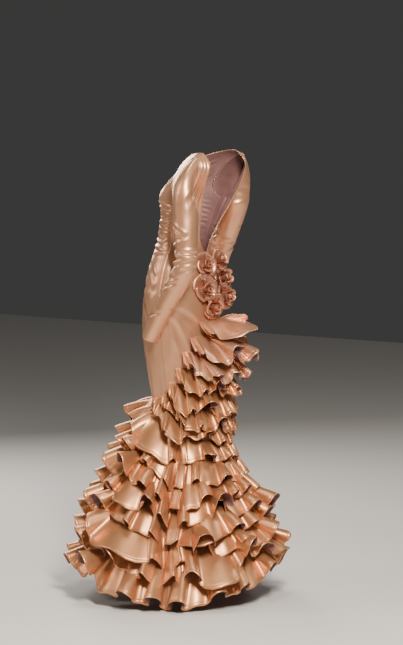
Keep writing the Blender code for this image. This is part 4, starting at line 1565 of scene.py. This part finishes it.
@dataclass
class Rose:
    """A rolled rose: a ribbon heart inside curled petals."""

    number: int
    x: float
    z: float
    radius: float
    turn: float
    height: float
    # How far the rose leans, to the wearer's right and upwards
    lean: tuple[float, float]
    off: float = 0.0010
    heart: float = 0.0045
    heart_radius: float = 0.0115
    heart_laps: float = 2.3
    petals: int = 8
    inner_petals: int = 3
    # Turn from one outer petal to the next, and reach of the inner petals
    petal_step: float = TURN * 0.4
    inner_reach: float = 0.0175
    inner_growth: float = 0.0035
    # Where a petal's edge begins to roll, and how tightly, at the heart and more at the outside
    roll_from: float = 0.78
    roll: tuple[float, float] = (110.0, 60.0)
    tight: tuple[float, float] = (0.0022, 0.0030)
    # Depths of the waves round a petal, across and up, at the heart and more at the outside
    wave_out: tuple[float, float] = (0.0010, 0.0016)
    wave_up: tuple[float, float] = (0.0014, 0.0022)
    cloth: float = 0.0009
    ribbon: float = 0.05

    def _frame(self) -> tuple[np.ndarray, np.ndarray]:
        """Where the rose sits and how it is turned.

        Returns:
            Its foot and its three directions, across, up and out of the cloth.
        """
        turn = math.pi - math.copysign(float(FIGURE.turn_at(self.z, abs(self.x))), self.x)
        foot = FIGURE.on(self.z, turn)
        beside = FIGURE.on(self.z, turn + 0.01) - foot
        above = FIGURE.on(self.z + 0.001, turn) - foot
        face = np.cross(beside, above)
        face = face / np.linalg.norm(face) + np.array([-self.lean[0], 0.0, self.lean[1]])
        face /= np.linalg.norm(face)
        up = np.array([0.0, 0.0, 1.0]) - face * face[2]
        up /= np.linalg.norm(up)
        return foot + face * self.off, np.stack([np.cross(up, face), up, face], axis=1)

    def _heart(self) -> np.ndarray:
        """The wound ribbon in the middle.

        Returns:
            Its grid.
        """
        s = np.linspace(0, 1, 70)[None, :]
        level = np.linspace(0, 1, 9)[:, None]
        angle = self.turn + TURN * self.heart_laps * s
        radius = (self.heart + (self.heart_radius - self.heart) * s) * (0.55 + 0.45 * level**0.8)
        high = self.height * level * (0.98 - 0.08 * s) + 0.0012 * np.sin(7 * angle) * level
        return np.stack([radius * np.cos(angle), radius * np.sin(angle), high], axis=-1)

    def _petal(self, k: int, dice: np.random.Generator) -> np.ndarray:
        """One petal that rolls back at its edge.

        Args:
            k: which petal, from the heart outwards.
            dice: seeded numbers.

        Returns:
            Its grid.
        """
        if k < self.inner_petals:
            share = 0.35 * k / self.inner_petals
            middle = self.turn + k * TURN / self.inner_petals + dice.uniform(-0.2, 0.2)
            reach = self.inner_reach + self.inner_growth * k
        else:
            ring = k - self.inner_petals
            outness = ring / (self.petals - self.inner_petals - 1)
            share = 0.62 + 0.38 * outness
            middle = self.turn + 0.5 + ring * self.petal_step + dice.uniform(-0.15, 0.15)
            reach = self.radius * (0.74 + 0.26 * outness)
        spread = dice.uniform(0.88, 1.05) + 0.25 * (1 - share)
        u = np.linspace(-1, 1, 20)[None, :]
        v = np.linspace(0, 1, 14)[:, None] * np.sqrt(1 - 0.62 * np.abs(u) ** 3.2)
        reach *= dice.uniform(0.94, 1.06)
        height = self.height * (1.0 - 0.62 * share**1.3) * dice.uniform(0.92, 1.08)
        foot = 0.26 + 0.12 * (1 - share)
        rolled = math.radians(self.roll[0] + self.roll[1] * share) * dice.uniform(0.85, 1.1)
        roll = np.clip((v - self.roll_from) / (1 - self.roll_from), 0, 1) * rolled
        curls = (self.tight, self.wave_out, self.wave_up)
        tight, wave_out, wave_up = (low + more * share for low, more in curls)
        radius = reach * (foot + (1 - foot) * v ** (1.30 - 0.50 * share)) + tight * np.sin(roll)
        radius = radius + wave_out * np.sin(3.1 * u + 2.0 * k) * v
        level = height * (1 - (1 - v) ** (1.25 + 0.6 * share)) - tight * (1 - np.cos(roll)) * 0.9
        level = level + wave_up * np.sin(2.6 * u + 1.3 * k) * v * v
        angle = middle + spread * u * (0.70 + 0.30 * v)
        return np.stack([radius * np.cos(angle), radius * np.sin(angle), level], axis=-1)

    def build(self) -> None:
        """Builds the rose as one piece."""
        foot, axes = self._frame()
        dice = np.random.default_rng(100 + self.number)
        grids = [self._heart()] + [self._petal(k, dice) for k in range(self.petals)]
        grids = [foot + grid @ axes.T for grid in grids]
        starts = np.cumsum([0] + [grid.size // 3 for grid in grids])
        faces = [start + quads(*grid.shape[:2], False) for start, grid in zip(starts, grids)]
        points = [grid.reshape(-1, 3) for grid in grids]
        piece = mesh_object(f"gown_rose_{self.number}", np.concatenate(points), np.concatenate(faces))
        piece.data.materials.append(PETAL_WITH_PAINTED_SHADE.material())
        dress(piece, self.cloth, 0.0, Slot.ROSE, [f"rose_{self.number}"])
        area = sum(area_of(grid) for grid in grids)


ROSES = (
    Rose(1, 0.022, -0.404, 0.0500, 0.3, 0.038, (-0.25, 0.15)),
    Rose(2, -0.056, -0.394, 0.0480, 1.9, 0.054, (-0.40, 0.20)),
    Rose(3, -0.064, -0.458, 0.0480, 3.4, 0.064, (-0.45, 0.15)),
    Rose(4, 0.036, -0.484, 0.0530, 4.4, 0.040, (-0.20, 0.0)),
    Rose(5, -0.066, -0.516, 0.0540, 5.3, 0.066, (-0.40, 0.05)),
    Rose(6, 0.006, -0.542, 0.0490, 2.7, 0.054, (-0.30, -0.10)),
)


@dataclass(frozen=True)
class Lamp:
    """One soft studio light."""

    name: str
    # How far it stands towards the camera, to the camera's right and up
    place: tuple[float, float, float]
    size: tuple[float, float]
    power: float
    colour: Colour


@dataclass
class Studio:
    """The camera, the lights and the floor."""

    azimuth: float = math.radians(122.0)
    elevation: float = math.radians(6.5)
    distance: float = 12.47
    lens: float = 200.0
    sensor: float = 36.0
    far_clip: float = 100.0
    aim_right: float = -0.0574
    aim_up: float = -0.5968
    lit_point: tuple[float, float, float] = (0.0, -0.15, -0.75)
    lamps: tuple[Lamp, ...] = (
        Lamp("key", (3.0, 0.4, 0.8), (0.4, 1.2), 216.0, (1.0, 0.915, 0.80)),
        Lamp("side", (0.4, -3.0, 0.6), (1.0, 1.0), 26.0, (1.0, 0.92, 0.84)),
        Lamp("rim", (-1.6, 2.6, 1.4), (1.0, 1.0), 20.0, (1.0, 0.93, 0.90)),
        Lamp("far", (-3.0, -1.2, 0.9), (1.4, 1.4), 70.0, (1.0, 0.93, 0.86)),
    )
    # This one stands above the gown, at a place in the frame's own axes
    top_lamp: Lamp = Lamp("top", (0.3, 0.2, 2.3), (1.2, 1.2), 34.0, (1.0, 0.94, 0.86))
    air: Colour = (0.96, 0.95, 0.94)
    air_strength: float = 0.05
    floor_z: float = -1.581
    floor_size: float = 14.0
    floor_colours: tuple[Colour, Colour] = ((0.74, 0.73, 0.71), (0.80, 0.79, 0.77))
    floor_roughness: float = 0.8
    floor_scale: float = 3.0

    def _directions(self) -> tuple[Vector, Vector, Vector]:
        """The camera's directions.

        Returns:
            The directions to the camera, to its right and up.
        """
        a, e = self.azimuth, self.elevation
        towards = Vector((math.sin(a) * math.cos(e), -math.cos(a) * math.cos(e), math.sin(e)))
        right = Vector((math.cos(a), math.sin(a), 0.0))
        return towards, right, towards.cross(right)

    def camera(self) -> None:
        """Puts the camera where the photo was taken from."""
        towards, right, up = self._directions()
        aim = right * self.aim_right + up * self.aim_up
        data = bpy.data.cameras.new("camera")
        data.lens = self.lens
        data.sensor_width = self.sensor
        data.clip_end = self.far_clip
        camera = bpy.data.objects.new("camera", data)
        turned = Matrix((right, up, towards)).transposed().to_4x4()
        camera.matrix_world = Matrix.Translation(aim + towards * self.distance) @ turned
        bpy.context.scene.collection.objects.link(camera)
        bpy.context.scene.camera = camera

    def _light(self, lamp: Lamp, place: Vector) -> None:
        """Adds a soft light that faces the gown.

        Args:
            lamp: its kind.
            place: where it stands.
        """
        data = bpy.data.lights.new(lamp.name, "AREA")
        data.shape = "RECTANGLE"
        data.size, data.size_y = lamp.size
        data.energy = lamp.power
        data.color = lamp.colour
        light = bpy.data.objects.new(lamp.name, data)
        light.location = place
        light.rotation_euler = (place - Vector(self.lit_point)).to_track_quat("Z", "Y").to_euler()
        bpy.context.scene.collection.objects.link(light)

    def lights(self) -> None:
        """Adds the world and the studio lights."""
        towards, right, _ = self._directions()
        high = Vector((0.0, 0.0, 1.0))
        world = bpy.data.worlds.new("studio")
        world.use_nodes = True
        inputs = world.node_tree.nodes["Background"].inputs
        inputs["Color"].default_value = (*self.air, 1.0)
        inputs["Strength"].default_value = self.air_strength
        bpy.context.scene.world = world
        for lamp in self.lamps:
            near, beside, above = lamp.place
            self._light(lamp, towards * near + right * beside + high * above)
        self._light(self.top_lamp, Vector(self.top_lamp.place))

    def floor(self) -> None:
        """Adds a plain pale floor."""
        half = self.floor_size / 2
        places = ((-half, -half), (half, -half), (half, half), (-half, half))
        corners = np.array([(x, y, self.floor_z) for x, y in places])
        floor = mesh_object("floor", corners, np.array([[0, 1, 2, 3]]))
        material = bpy.data.materials.new("floor_paint")
        material.use_nodes = True
        tree = material.node_tree
        inputs = tree.nodes["Principled BSDF"].inputs
        inputs["Roughness"].default_value = self.floor_roughness
        noise = node(tree, "TexNoise", Scale=self.floor_scale)
        ramp = node(tree, "ValToRGB", Fac=noise.outputs["Fac"])
        for element, colour in zip(ramp.color_ramp.elements, self.floor_colours):
            element.color = (*colour, 1.0)
        tree.links.new(ramp.outputs["Color"], inputs["Base Color"])
        floor.data.materials.append(material)


def main() -> None:
    """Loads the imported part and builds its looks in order."""
    logging.basicConfig(level=logging.INFO, format="%(message)s")
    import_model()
    LOG.info("panels")
    Bodice().build()
    LOG.info("sleeves")
    LEFT_SLEEVE.build()
    RIGHT_SLEEVE.build()
    LOG.info("hem flounces")
    Hem().build()
    LOG.info("back cascade")
    Cascade().build()
    LOG.info("roses")
    for rose in ROSES:
        rose.build()
    studio = Studio()
    studio.camera()
    studio.lights()
    studio.floor()


if __name__ == "__main__":
    main()
